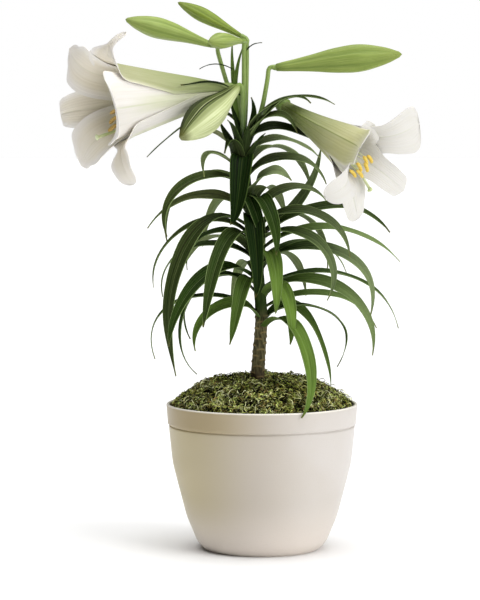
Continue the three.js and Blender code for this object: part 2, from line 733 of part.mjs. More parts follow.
// Width of a tepal's free part, smoothly through its widths a quarter apart
function freeWidth(widths, share, bluntness) {
  const spot = THREE.MathUtils.clamp(share * 4, 0, 3);
  const index = Math.min(Math.floor(spot), 2);
  const f = spot - index;
  const [a, b, c, d] = [-1, 0, 1, 2].map((step) => widths[THREE.MathUtils.clamp(index + step, 0, 3)]);
  const square = 2 * a - 5 * b + 4 * c - d;
  const cube = 3 * b - a - 3 * c + d;
  const width = b + ((c - a) * f + square * f ** 2 + cube * f ** 3) / 2;
  const past = Math.max((share - CLOSING) / (1 - CLOSING), 0);
  return width * Math.sqrt(Math.max(1 - past ** bluntness, 0));
}

// The way of a tepal's midrib: up the tube, over the mouth and out to its curled tip
function tepalRows(bloom, frame, [angle, free, curl, swing, start, bluntness, ...widths], inner) {
  const total = frame.length + free;
  const bendStart = (frame.length + start) / total;
  const stations = [0, ...FREE_STATIONS.map((share) => frame.length + share * free)];
  const startRadius = TEPAL_BASE_RADIUS - (inner ? WHORL_STEP : 0);
  const span = radians(inner ? INNER_SPAN : OUTER_SPAN);
  const position = frame.base.clone();
  position.addScaledVector(around(frame, radians(angle)).outward, startRadius);
  const upper = [];
  const lower = [];
  let next = 0;
  for (let step = 0; step <= FOLLOWED; step += 1) {
    const share = step / FOLLOWED;
    const distance = share * total;
    const opening = smooth(share, bendStart, 1);
    const slope = THREE.MathUtils.lerp(...bloom.slopes, Math.min(distance / frame.length, 1));
    const lean = radians(THREE.MathUtils.lerp(slope, curl, opening));
    const { outward, across } = around(frame, radians(angle + swing * opening));
    if (distance >= stations[next] - 1e-6) {
      const inward = outward.clone().multiplyScalar(-Math.cos(lean));
      inward.addScaledVector(frame.axis, Math.sin(lean));
      const radius = position.clone().sub(frame.base).dot(outward);
      const beyond = Math.max((distance - frame.length) / free, 0);
      const opened = freeWidth(widths, beyond, bluntness);
      const width = Math.max(Math.min(2 * radius * span, opened), LEAST_WIDTH);
      const bend = THREE.MathUtils.lerp(1 / radius, OPEN_BEND, opening);
      const upperRow = [];
      const lowerRow = [];
      for (const column of TEPAL_ACROSS) {
        const turn = (column * width * bend) / 2;
        const ripple = Math.sin(share * RUFFLES + angle) * RUFFLE * opening * column * column;
        const point = position.clone();
        point.addScaledVector(across, Math.sin(turn) / bend);
        point.addScaledVector(inward, (1 - Math.cos(turn)) / bend + ripple);
        const face = inward.clone().multiplyScalar(Math.cos(turn)).addScaledVector(across, -Math.sin(turn));
        upperRow.push(point.clone().addScaledVector(face, TEPAL / 2));
        lowerRow.push(point.clone().addScaledVector(face, -TEPAL / 2));
      }
      upper.push(upperRow);
      lower.push(lowerRow);
      next += 1;
    }
    position.addScaledVector(frame.axis, (Math.cos(lean) * total) / FOLLOWED);
    position.addScaledVector(outward, (Math.sin(lean) * total) / FOLLOWED);
  }
  return [upper, lower];
}

function receptacle(frame) {
  const rings = RECEPTACLE_SHAPE.map(([share, radius]) => {
    const ring = [];
    for (let side = 0; side < RECEPTACLE_SIDES; side += 1) {
      const { outward } = around(frame, (side / RECEPTACLE_SIDES) * Math.PI * 2);
      const point = frame.base.clone().addScaledVector(frame.axis, RECEPTACLE * share);
      ring.push(point.addScaledVector(outward, radius));
    }
    return ring;
  });
  return skinOverRings(rings);
}

function petalsGeometry(bloom) {
  const frame = bloomFrame(bloom);
  const pieces = [receptacle(frame)];
  bloom.tepals.forEach((tepal, index) => {
    const [upper, lower] = tepalRows(bloom, frame, tepal, index % 2 === 0);
    pieces.push(bladeBetween(upper, lower));
  });
  return toGeometry(join(pieces));
}

// Stamens and pistil of a bloom, on a small knob at the foot of its tube

function spindle(line, radiusAt, sides, steps) {
  return tubeAlong(through(line.map((point) => point.toArray())), radiusAt, sides, steps);
}

function stamensGeometry(bloom) {
  const frame = bloomFrame(bloom);
  const foot = RECEPTACLE + GAP;
  const place = (sideways, up, forward) => {
    const point = frame.base.clone().addScaledVector(frame.axis, forward);
    return point.addScaledVector(frame.east, sideways).addScaledVector(frame.north, up);
  };
  const knob = [place(0, 0, foot), place(0, 0, foot + KNOB_LENGTH / 2), place(0, 0, foot + KNOB_LENGTH)];
  const pieces = [spindle(knob, (share) => KNOB_RADIUS * (1 - share * 0.4), 6, 1)];
  const from = foot + KNOB_LENGTH - 2;
  const [sideways, up, forward] = bloom.anthers;
  const [rowSideways, rowUp] = bloom.antherRow;
  const [waySideways, wayUp, wayForward] = bloom.antherWay;
  for (let index = 0; index < STAMENS; index += 1) {
    const angle = ((index + 0.5) / STAMENS) * Math.PI * 2;
    const a = Math.cos(angle);
    const b = Math.sin(angle);
    const reach = frame.length + forward + ANTHER_STAGGER * (fraction(index * GOLDEN) - 0.5);
    const inRow = (2 * index) / (STAMENS - 1) - 1;
    const beside = index % 2 ? ANTHER_BESIDE : -ANTHER_BESIDE;
    const row = Math.hypot(rowSideways, rowUp);
    const end = [
      sideways + rowSideways * inRow + (rowUp / row) * beside,
      up + rowUp * inRow - (rowSideways / row) * beside,
      reach,
    ];
    const filament = [
      place(a * FILAMENT_RING, b * FILAMENT_RING, from),
      place(a * FILAMENT_SPREAD + end[0] / 5, b * FILAMENT_SPREAD + end[1] / 5, frame.length * 0.55),
      place(...end),
    ];
    pieces.push(spindle(filament, () => FILAMENT_RADIUS, 3, 3));
    const lean = place(end[0] + waySideways + a * 2, end[1] + wayUp + b * 2, reach + wayForward);
    lean.sub(place(...end)).setLength(ANTHER_LENGTH / 2);
    const anther = [place(...end).sub(lean), place(...end), place(...end).add(lean)];
    pieces.push(spindle(anther, (share) => ANTHER_RADIUS * (1 - (2 * share - 1) ** 2 * 0.6), 4, 2));
  }
  const [across, rise, ahead] = bloom.stigma;
  const [inTube, atMouth] = bloom.styleDrop;
  const pistil = [
    place(0, 0, from),
    place(across * 0.2, rise * inTube, frame.length * 0.6),
    place(across * 0.7, rise * atMouth, frame.length),
    place(across, rise, frame.length + ahead),
  ];
  pieces.push(spindle(pistil, (share) => (share > 0.95 ? STIGMA_RADIUS : STYLE_RADIUS), 5, 6));
  return toGeometry(join(pieces));
}

// Meshes

const lily = new THREE.Group();

function addPiece(name, geometry, colour, roughness) {
  const material = new THREE.MeshStandardMaterial({ color: colour, roughness, metalness: 0 });
  const mesh = new THREE.Mesh(geometry, material);
  mesh.name = name;
  lily.add(mesh);
}

addPiece('pot', potGeometry(), 0xd8cfbf, 0.4);
addPiece('soil', soilGeometry(), 0x2c2018, 0.95);
addPiece('moss', mossGeometry(), 0x8a8c4a, 0.95);
addPiece('bulb', bulbGeometry(), 0xe6ddc0, 0.7);
addPiece('leafy_stem', leafyStemGeometry(), 0x2f5a24, 0.5);
for (const [name, bud] of Object.entries(BUDS)) {
  addPiece(name, budGeometry(bud), name === 'low_bud' ? 0xc9d79a : 0x8fae4c, 0.5);
}
for (const [name, bloom] of Object.entries(BLOOMS)) {
  addPiece(`${name}_petals`, petalsGeometry(bloom), 0xf6f5ea, 0.5);
  addPiece(`${name}_stamens`, stamensGeometry(bloom), 0xc79a2e, 0.7);
}

export default lily;
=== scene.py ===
# Potted easter lily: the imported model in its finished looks. Lists are in millimetres, as in
# the part's source; Blender's objects are in metres, +Z up, the viewer's side towards -Y.
import json
import math

import bpy
import numpy as np
from mathutils import Matrix, Vector, noise

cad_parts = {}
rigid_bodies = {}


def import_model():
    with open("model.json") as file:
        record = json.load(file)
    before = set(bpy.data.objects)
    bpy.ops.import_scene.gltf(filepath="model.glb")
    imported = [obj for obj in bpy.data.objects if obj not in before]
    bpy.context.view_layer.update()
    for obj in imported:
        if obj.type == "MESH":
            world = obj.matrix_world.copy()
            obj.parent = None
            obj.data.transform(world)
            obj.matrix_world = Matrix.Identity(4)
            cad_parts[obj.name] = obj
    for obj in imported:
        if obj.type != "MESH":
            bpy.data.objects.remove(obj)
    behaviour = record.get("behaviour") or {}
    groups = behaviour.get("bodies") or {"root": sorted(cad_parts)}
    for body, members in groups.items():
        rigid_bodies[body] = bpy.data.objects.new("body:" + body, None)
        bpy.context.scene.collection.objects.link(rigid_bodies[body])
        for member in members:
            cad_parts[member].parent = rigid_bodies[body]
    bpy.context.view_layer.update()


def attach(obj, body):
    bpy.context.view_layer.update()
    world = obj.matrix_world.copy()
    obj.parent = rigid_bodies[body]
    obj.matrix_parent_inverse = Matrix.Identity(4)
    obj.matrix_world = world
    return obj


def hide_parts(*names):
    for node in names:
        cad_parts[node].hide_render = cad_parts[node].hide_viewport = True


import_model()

MM = 0.001
UP = Vector((0, 0, 1))
GOLDEN = 0.618

# Gap that the solids keep between pieces
GAP = 0.3
# Folds that stay sharp, from this angle on, in degrees
SHARP_EDGE = 50

# Pot
POT_SIDES = 144
POT_HEIGHT = 145
POT_FLOOR = 4
POT_WALL = 3
LIP_RADIUS = 95
LIP_ROUND = 1.3
BAND_BOTTOM = 125
BAND_RADIUS = 93.6
GROOVE = 1.5
GROOVE_RADIUS = 91.7
DRAIN_HOLE_RADIUS = 5
DRAIN_HOLE_RING = 36
DRAIN_HOLE_TURN = 0.3
DRAIN_HOLES = 5
# Outer wall below the rim band: [height, radius]
POT_WALL_CURVE = [
    [0, 57], [3.5, 61], [9.4, 65.3], [33, 75.2], [69, 84.6], [87, 89], [122, 92.6],
]
# Heights of the rings of the outer wall: close ones at the foot, then even steps
FOOT_RINGS = [0.6, 2, 3.5, 5, 7, 9.4]
WALL_RINGS = 26
WALL_STEP = 4.2
WALL_TOP = 121.5

# Moss
SOIL_TOP = 134
MOSS_RADIUS = 89.6
MOSS_EDGE = 141
MOSS_CROWN = 171
MOSS_RINGS = 26
MOSS_SIDES = 120
MOSS_LUMPS = 2.4
# Hollows of the mound, round the stem and towards the front: [depth, radius]
STEM_HOLLOW = [5, 22]
FRONT_HOLLOW = [4, 30]
BED_UNDER_THREADS = 3.5
# How far from the middle of the pot the first and the last strands lie
STRANDS_FROM = 9
STRANDS_TO = MOSS_RADIUS - 1.5

# Stem: [height, x, radius], bare and scarred up to BARE_TOP
STEM_LINE = [
    [84, -5, 6.4], [160, -5, 7.2], [190, -3.3, 6.7], [217, -1, 6.3], [232, 0, 6.2], [270, -3.5, 6],
    [307, -7, 5.8], [366, -16, 5], [400, -18.5, 4.6], [416, -19, 3.4],
]
BARE_BOTTOM = 150
BARE_TOP = 234
SCAR_STEP = 2.1
SCAR_TURN = 137.5
SCAR_DEPTH = 0.7
SCAR_SAG = 1.3
# Half width of a scar, in radians, where it starts to fade and where it has gone
SCAR_SIDES = [0.45, 0.95]
# Heights at which its ledge starts, is full, starts to fade and has gone
SCAR_LEDGE = [-0.4, 0.2, 0.5, 3.6]
# Rings of the stem: [up to this height, step], close ones where it is scarred
STEM_RINGS = [[150, 6], [BARE_TOP, 0.8], [414, 6]]

# Leaves: thickness, depth of the fold along the midrib, and steps across and along
BLADE = 0.65
LEAF_FOLD = 0.24
LEAF_ACROSS = 8
LEAF_ALONG = 28
TURN_SHARE = 0.4
# Outline of a leaf: its width at the root, where it is widest, and how late it tapers
LEAF_ROOT_WIDTH = 0.38
LEAF_WIDEST = 0.4
LEAF_TAPER = 2.8
LEAF_WAVES = 17

# Leaves that the photograph shows. Each: [height on the stem, width, turn in degrees, then three
# points of the midrib on its way out to the tip]
LEAVES = [
    # left side, from the top down
    [404, 9, -10, [-40, 12, 433], [-84, 22, 416], [-115, 26, 389]],
    [384, 12, 40, [-34, 10, 404], [-49, 20, 414], [-66, 30, 414]],
    [365, 13, -17, [-36, -12, 388], [-53, -26, 393], [-57, -32, 370]],
    [355, 15, -32, [-50, -14, 371], [-88, -30, 352], [-93, -34, 312]],
    [332, 16, -36, [-46, 14, 350], [-82, 30, 345], [-115, 42, 317]],
    [315, 18, -42, [-55, -16, 325], [-84, -26, 279], [-92, -28, 228], [-85, -24, 174]],
    [305, 13, -26, [-50, 12, 326], [-96, 24, 301], [-109, 28, 258]],
    [284, 13, -26, [-46, 18, 302], [-90, 34, 286], [-100, 38, 248]],
    [302, 18, -17, [-26, -26, 316], [-47, -58, 279], [-57, -68, 226]],
    [216, 14, -44, [-22, -10, 245], [-52, -22, 237], [-66, -26, 199]],
    [258, 18, 0, [-14, -28, 271], [-24, -58, 244], [-32, -66, 209]],
    [230, 11, -17, [-47, 8, 251], [-100, 16, 234], [-107, 18, 187]],
    [248, 12, -29, [-49, 8, 270], [-81, 16, 219], [-65, 16, 172]],
    [258, 11, -10, [-37, 20, 271], [-74, 40, 245], [-72, 44, 205]],
    [263, 18, -32, [-39, -22, 281], [-72, -46, 258], [-91, -58, 206]],
    # front
    [372, 24, 0, [-19, -16, 389], [-22, -38, 364], [-31, -44, 324]],
    [311, 19, 0, [-10, -22, 332], [-6, -48, 296], [-7, -54, 254]],
    [331, 18, 10, [-3, -18, 350], [9, -40, 331], [13, -48, 295]],
    [335, 15, 0, [-13, -16, 350], [-6, -30, 334], [0, -36, 303]],
    [281, 19, 0, [6, -18, 297], [13, -44, 272], [13, -50, 238]],
    [244, 18, 10, [17, -18, 263], [27, -36, 240], [27, -42, 207]],
    [216, 19, 0, [20, -24, 230], [43, -60, 198], [37, -91, 141]],
    [223, 16, 55, [31, 24, 240], [62, 44, 196], [71, 52, 154]],
    # right side, from the top down
    [402, 12, 17, [6, -10, 438], [38, -18, 449], [71, -22, 441]],
    [398, 10, 29, [10, -16, 437], [35, -28, 449], [47, -34, 442]],
    [394, 13, 36, [0, -12, 426], [19, -26, 431], [34, -34, 413]],
    [386, 15, 35, [2, -4, 417], [35, -10, 415], [65, -14, 397]],
    [376, 13, 26, [6, 6, 406], [34, 14, 404], [58, 18, 388]],
    [365, 15, 35, [8, 4, 386], [44, 10, 385], [64, 12, 362]],
    [347, 18, 44, [0, -16, 370], [16, -34, 376], [28, -44, 367]],
    [325, 13, 38, [18, 8, 356], [44, 16, 359], [66, 20, 343]],
    [309, 13, 40, [23, 14, 330], [46, 24, 358], [59, 28, 399]],
    [304, 15, 35, [37, -4, 334], [89, -8, 340], [126, -10, 315]],
    [315, 15, 32, [25, -14, 336], [62, -28, 330], [86, -36, 292]],
    [292, 14, 26, [40, 6, 317], [90, 12, 315], [138, 16, 285]],
    [299, 16, 22, [29, -26, 317], [63, -50, 296], [63, -54, 251]],
    [275, 16, 35, [42, -14, 301], [95, -30, 284], [105, -34, 232]],
    [258, 12, 17, [50, 6, 275], [106, 14, 262], [137, 18, 218]],
    [248, 16, 38, [45, -16, 269], [88, -32, 253], [108, -38, 196]],
    [238, 13, 26, [41, 8, 253], [83, 16, 248], [115, 20, 218]],
    [226, 10, 10, [43, 16, 241], [78, 28, 225], [76, 30, 178]],
    [285, 12, 26, [28, 18, 301], [61, 36, 300], [86, 46, 272]],
    # close round the stem at the crown
    [384, 10, 0, [-23, -9, 398], [-26, -14, 412], [-34, -17, 426]],
    [366, 19, 0, [-25, -9, 390], [-31, -18, 406], [-37, -23, 393]],
    [375, 11, 0, [-17, -9, 395], [-15, -11, 409], [-13, -10, 422]],
    [368, 10, 0, [-10, -8, 394], [-3, -10, 406], [3, -10, 413]],
    [384, 10, -50, [-31, 4, 403], [-38, 3, 416], [-42, 2, 425]],
    [296, 13, -20, [-34, -4, 316], [-62, -10, 309], [-74, -14, 278]],
]

# Groups of leaves, each with the place in the list of its first one
LEAF_GROUPS = [("leaves_right", 23), ("leaves_front", 15), ("leaves_left", 0)]

# Leaves behind, by a rule round the back of the stem, with their least and greatest sizes
BACK_LEAVES = 11
BACK_LOWEST = 246
BACK_HIGHEST = 376
BACK_FROM = 32
BACK_SWEEP = 116
BACK_LENGTHS = [112, 158]
BACK_WIDTHS = [13, 17]

# Places in the list of the leaves given painted light, a brighter green where they lie nearest to the light
BRIGHT_LEAVES = {
    9: 0.45, 10: 0.3, 17: 0.1, 19: 0.65, 20: 0.78, 21: 0.6, 22: 0.35, 34: 0.4, 38: 0.35, 39: 0.4,
}

# Places of the leaves that fade to a pale grey green towards their tips
PALE_LEAVES = {
    2: 0.4, 7: 0.2, 27: 0.55, 28: 0.4, 29: 0.85, 30: 0.4, 31: 0.4, 33: 0.35, 34: 0.4, 35: 0.35, 36: 0.65,
    37: 0.1, 38: 0.45, 39: 0.3, 41: 0.5,
}

# Places of the leaves under the blooms and close round the stem at the crown, given darker copies of the
# leaf finish as painted shade
CROWN_LEAVES = [0, 15, 16, 26, 42, 43, 44, 45, 46]

# Narrow bracts among the flower stalks: [width, turn in degrees, then points from root to tip]
BRACTS = [
    [5.5, -68, [-19, 6, 408], [-26, 9, 448], [-29, 10, 474], [-29, 9, 506]],
    [5.5, -60, [-19, 5, 408], [-27, 7, 450], [-26, 9, 468], [-18, 12, 500]],
    [9, 75, [-18, -2, 398], [-10, -3, 420], [-8, -4, 435], [-11, -4, 448]],
    [7, -75, [-19, -3, 398], [-24, -5, 420], [-28, -6, 433], [-31, -6, 444]],
    [2.2, 0, [-29, 9, 476], [-38, 8, 480], [-48, 6, 481], [-62, 4, 476]],
    [2.2, 0, [-16, 8, 490], [-11, 5, 499], [-7, 4, 501], [0, 3, 502]],
    [2.6, -50, [-19, -11, 448], [-40, -24, 461], [-61, -49, 462], [-78, -74, 459]],
]

# Flower stalks, from the stem's top to their flower or bud: [end radius, then points]
STALKS = {
    "left_bloom": [2.8, [-19, 1, 398], [-20, 6, 428], [-22, 6, 446], [-28, 2, 455]],
    "right_bloom": [2.6, [-18, 3, 392], [-8, 8, 416], [3, 11, 434], [18, 8, 441]],
    "right_bud": [2.2, [-17, -2, 400], [-6, -3, 422], [0, -3, 438], [5, -2, 464], [11, -2, 477]],
    "left_bud": [2.1, [-19, 4, 402], [-26, 11, 440], [-34, 14, 460], [-43, 11, 490], [-48, 7, 499]],
    "top_bud": [2, [-18, 3, 402], [-16, 6, 440], [-15, 7, 480], [-15, 8, 500], [-18, 9, 507]],
    "front_bud": [2, [-18, 1, 402], [-18, 1, 440], [-18, 1, 480], [-18, 0, 499], [-19, -4, 503]],
    "low_bud": [2.6, [-19, -1, 400], [-19, -8, 434], [-19, -13, 453], [-24, -17, 458]],
}

# Buds: [radius, base, a point on the way, tip]
BUDS = {
    "right_bud": [14, [11, -2, 477], [72, -6, 484], [137, -14, 490]],
    "left_bud": [10.5, [-48, 7, 499], [-88, -12, 512], [-133, -35, 523]],
    "top_bud": [7.4, [-18, 9, 507], [-50, 22, 525], [-84, 35, 543]],
    "front_bud": [8.2, [-19, -4, 503], [-34, -24, 503], [-52, -46, 501]],
    "low_bud": [16.5, [-24, -17, 458], [-46, -56, 436], [-78, -100, 408]],
}

# Blooms: base and mouth centre of the trumpet, slopes of its tube in degrees at its foot and
# mouth, and where the anthers and the stigma hang, from the mouth's centre as [sideways, up,
# forward], with the row that the anthers make and the way they lie, and how much of the stigma's
# drop the style has made in the tube and at the mouth. Tepals by turns inner and outer, each:
# [angle round the axis, free length, curl of its tip in degrees, swing of its tip in degrees,
# start of its bend after the mouth, bluntness of its tip, then its widths at the mouth and at
# each further quarter of its free length]
BLOOMS = {
    "left_bloom": {
        "base": [-28, 2, 455],
        "mouth": [-145, -97, 441],
        "slopes": [11, 13],
        "green": [1],
        "anthers": [12, -15, 5],
        "anther_row": [5, 10],
        "anther_way": [11, 5, -2],
        "stigma": [-4, -31, 16],
        "style_drop": [0.55, 0.9],
        "tepals": [
            [356, 46, 57, 20, 16, 2.5, 72, 80, 78, 58], [76, 46, 150, -32, -8, 2, 58, 50, 13, 7],
            [131, 40, 105, 3, -15, 1.3, 50, 50, 46, 26], [187, 51, 130, 2, -15, 3, 38, 34, 28, 20],
            [236, 40, 100, -3, -15, 1.2, 52, 50, 46, 28], [298, 52, 118, -10, -15, 2, 40, 14, 30, 26],
        ],
    },
    "right_bloom": {
        "base": [18, 8, 441],
        "mouth": [86, -73, 397],
        "slopes": [4, 14],
        "green": [1, 3, 5],
        "anthers": [5, -12, 14],
        "anther_row": [6, 9],
        "anther_way": [7, -8, 3],
        "stigma": [12, -31, 27],
        "style_drop": [0.12, 0.54],
        "tepals": [
            [62, 14, 120, -4, 0, 2, 40, 36, 30, 24], [147, 58, 44, 18, 12, 3, 44, 46, 44, 34],
            [208, 70, 128, 12, 22, 2, 46, 44, 40, 32], [264, 56, 105, 44, -12, 2, 42, 34, 28, 22],
            [331, 58, 95, 0, -12, 2, 42, 28, 26, 24], [32, 52, 95, -2, -15, 3, 38, 34, 44, 54],
        ],
    },
}

STALK_NECK = 4
STALK_FLARE = 0.9
STALK_SUNK = 3

# A bud's girth on its way from base to tip: [share of its length, share of its radius]
BUD_GIRTH = [
    [0, 0.2], [0.04, 0.31], [0.15, 0.41], [0.3, 0.6], [0.46, 0.86], [0.62, 1], [0.72, 0.94],
    [0.82, 0.73], [0.91, 0.5], [1, 0.1],
]
BUD_SEGMENTS = 60
BUD_RINGS = 44
# The way that the opening bud's painted shade faces: its upper side is painted dark
BUD_SHADED_SIDE = Vector((-0.69, 0, 0.73))

# Tepals
TEPAL = 0.7
TEPAL_BASE_RADIUS = 5.8
WHORL_STEP = 2.2
TEPAL_ACROSS = 20
TEPAL_ALONG = 56
OUTER_SPAN = 68
INNER_SPAN = 56
CLOSING = 0.75
RUFFLE = 1.6
RUFFLES = 19
OPEN_BEND = 0.008
# Crease along the midrib of a tepal, its width a share of half the tepal's
CREASE_DEPTH = 0.9
CREASE_WIDTH = 0.07
LEAST_WIDTH = 1.6
RECEPTACLE = 15
RECEPTACLE_SHAPE = [[0, 3], [0.15, 6.8], [0.4, 8.7], [0.7, 6], [1, 1]]

# Stamens and pistil
STAMENS = 6
KNOB_LENGTH = 6
KNOB_RADIUS = 3
FILAMENT_RADIUS = 0.8
STYLE_RADIUS = 1.3
STIGMA_RADIUS = 3
ANTHER_LENGTH = 11
ANTHER_RADIUS = 1.8
ANTHER_BESIDE = 2.6
ANTHER_STAGGER = 4
FILAMENT_RING = 1.4
FILAMENT_SPREAD = 3
ANTHER_SPREAD = 2

# Camera and light
VIEW_DISTANCE = 2400
VIEW_SIDEWAYS = -21.8
VIEW_HEIGHT = 418
VIEW_DOWN = 4.06
LENS = 145.5
FLOOR_METRES = 60
GLOW = 0.04
# Soft lights: [where from, spread in degrees, strength]
LIGHTS = {
    "key_light": [(1.2, -0.9, 0.7), 40, 1.75],
    "top_light": [(0, 0, 2), 60, 3.3],
}


# Lines, values and places

def fraction(value):
    return value - math.floor(value)


def lerp(low, high, share):
    return low + (high - low) * share


def ease(value, low, high):
    """Rises smoothly from 0 at low to 1 at high."""
    share = min(max((value - low) / (high - low), 0), 1)
    return share * share * (3 - 2 * share)


def hill(value, width):
    """1 at zero, falling away evenly to both sides."""
    return math.exp(-((value / width) ** 2))


def value_along(stations, share, column=1):
    index = 1
    while index < len(stations) - 1 and stations[index][0] < share:
        index += 1
    before, after = stations[index - 1], stations[index]
    blend = (share - before[0]) / (after[0] - before[0])
    return lerp(before[column], after[column], min(max(blend, 0), 1))


def smooth_value_along(stations, share, column=1):
    """The same, with the corners between the stations rounded off."""
    reach = 0.04 * (stations[-1][0] - stations[0][0])
    samples = [value_along(stations, share + reach * step, column) for step in (-1, -0.5, 0, 0.5, 1)]
    return sum(samples) / len(samples)


def distances(places):
    """How far along them each of some places lies."""
    reached = [0.0]
    for before, after in zip(places, places[1:]):
        reached.append(reached[-1] + (after - before).length)
    return reached


class Line:
    """A line that tells its places by their share of its length."""

    def along(self, share):
        return (self.at(share + 0.01) - self.at(share - 0.01)).normalized()


class EvenBend(Line):
    """One even bend through a few points, each met at its distance along them."""

    def __init__(self, points):
        self.points = [Vector(point) for point in points]
        self.knots = distances(self.points)

    def at(self, share):
        spot = share * self.knots[-1]
        total = Vector((0, 0, 0))
        for index, point in enumerate(self.points):
            weight = 1.0
            for other, knot in enumerate(self.knots):
                if other != index:
                    weight *= (spot - knot) / (self.knots[index] - knot)
            total += point * weight
        return total


class Through(Line):
    """A rounded line through its points, told off by its true length."""

    SAMPLES = 160

    def __init__(self, points):
        self.points = [Vector(point) for point in points]
        self.places = [self._raw(step / self.SAMPLES) for step in range(self.SAMPLES + 1)]
        self.lengths = distances(self.places)

    def _raw(self, share):
        spans = len(self.points) - 1
        span = min(int(share * spans), spans - 1)
        t = share * spans - span
        b, c = self.points[span], self.points[span + 1]
        a = self.points[span - 1] if span else b * 2 - c
        d = self.points[span + 2] if span + 2 <= spans else c * 2 - b
        leave, arrive = (c - a) / 2, (d - b) / 2
        return (
            b * (2 * t**3 - 3 * t**2 + 1) + leave * (t**3 - 2 * t**2 + t)
            + c * (3 * t**2 - 2 * t**3) + arrive * (t**3 - t**2)
        )

    def at(self, share):
        spot = min(max(share, 0), 1) * self.lengths[-1]
        index = min(max(int(np.searchsorted(self.lengths, spot)), 1), self.SAMPLES)
        low, high = self.lengths[index - 1], self.lengths[index]
        return self.places[index - 1].lerp(self.places[index], (spot - low) / (high - low))


def compass(angle):
    """The level direction at an angle."""
    return Vector((math.cos(angle), math.sin(angle), 0))


def about(side, top, angle):
    """The direction at an angle between two that are square to each other."""
    return side * math.cos(angle) + top * math.sin(angle)


def square_to(along):
    """Two directions square to a line: level, and up from it."""
    side = UP.cross(along)
    side = side.normalized() if side.length > 0.05 else Vector((1, 0, 0))
    return side, along.cross(side)


# Work on pieces

def none_picked():
    bpy.ops.object.select_all(action="DESELECT")


def picked(pieces):
    """Leaves only these pieces picked, the first of them the active one."""
    none_picked()
    for piece in pieces:
        piece.select_set(True)
    bpy.context.view_layer.objects.active = pieces[0]


def named(name):
    piece = bpy.context.object
    piece.name = name
    piece.data.name = name
    return piece


def sheet(name, across, along):
    """A flat sheet two units wide and long, with its own map."""
    none_picked()
    bpy.ops.mesh.primitive_grid_add(x_subdivisions=across, y_subdivisions=along, size=2)
    return named(name)


def ball(name, segments, rings):
    """A ball of radius one, with its own map round and from foot to top."""
    none_picked()
    bpy.ops.mesh.primitive_uv_sphere_add(segments=segments, ring_count=rings, radius=1)
    return named(name)


def placed(piece, place):
    """Puts each point of a sheet or ball where place says, given in millimetres."""
    for vertex in piece.data.vertices:
        vertex.co = place(vertex.co) * MM
    return piece


def as_tube(co):
    """Angle and share from foot to top of a point on a ball."""
    return math.atan2(co.y, co.x), math.acos(min(max(-co.z, -1), 1)) / math.pi


def at_end(share):
    """Whether this is the foot or the top of a ball."""
    return not 0.001 < share < 0.999


def modified(piece, kind, **settings):
    picked([piece])
    modifier = piece.modifiers.new(kind.title(), kind)
    for key, value in settings.items():
        setattr(modifier, key, value)
    bpy.ops.object.modifier_apply(modifier=modifier.name)
    return piece


def painted(piece, name, value_at):
    """Keeps a value between 0 and 1 with each point of a piece."""
    layer = piece.data.attributes.new(name, "FLOAT", "POINT")
    layer.data.foreach_set("value", [value_at(vertex.co) for vertex in piece.data.vertices])
    return piece


def joined(name, pieces):
    picked(pieces)
    if len(pieces) > 1:
        bpy.ops.object.join()
    return named(name)


def rod(name, line, radius_at, steps, sides=12):
    """A round rod along a line, closed at both ends."""
    none_picked()
    bpy.ops.curve.primitive_nurbs_path_add()
    path = bpy.context.object
    path.data.splines.clear()
    spline = path.data.splines.new("POLY")
    spline.points.add(steps)
    for step, point in enumerate(spline.points):
        share = step / steps
        point.co = (*(line.at(share) * MM), 1)
        point.radius = radius_at(share)
    path.data.dimensions = "3D"
    path.data.bevel_depth = MM
    path.data.bevel_resolution = sides // 4
    path.data.use_fill_caps = True
    bpy.ops.object.convert(target="MESH")
    return named(name)


def two_faced(piece, upper, lower, thickness, offset):
    """Gives a sheet its thickness, and each of its faces a finish."""
    piece.data.materials.append(upper)
    piece.data.materials.append(lower)
    return modified(piece, "SOLIDIFY", thickness=thickness * MM, offset=offset, material_offset=1)


def dressed(piece, finish=None):
    """Gives a piece its finish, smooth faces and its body."""
    if finish:
        piece.data.materials.append(finish)
    picked([piece])
    bpy.ops.object.shade_smooth_by_angle(angle=math.radians(SHARP_EDGE))
    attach(piece, "root")
    return piece


# Finishes

def shade(code):
    """A colour given as on screen, for the shader."""
    parts = [int(code[start:start + 2], 16) / 255 for start in (1, 3, 5)]
    return (*[part / 12.92 if part <= 0.04045 else ((part + 0.055) / 1.055) ** 2.4 for part in parts], 1)


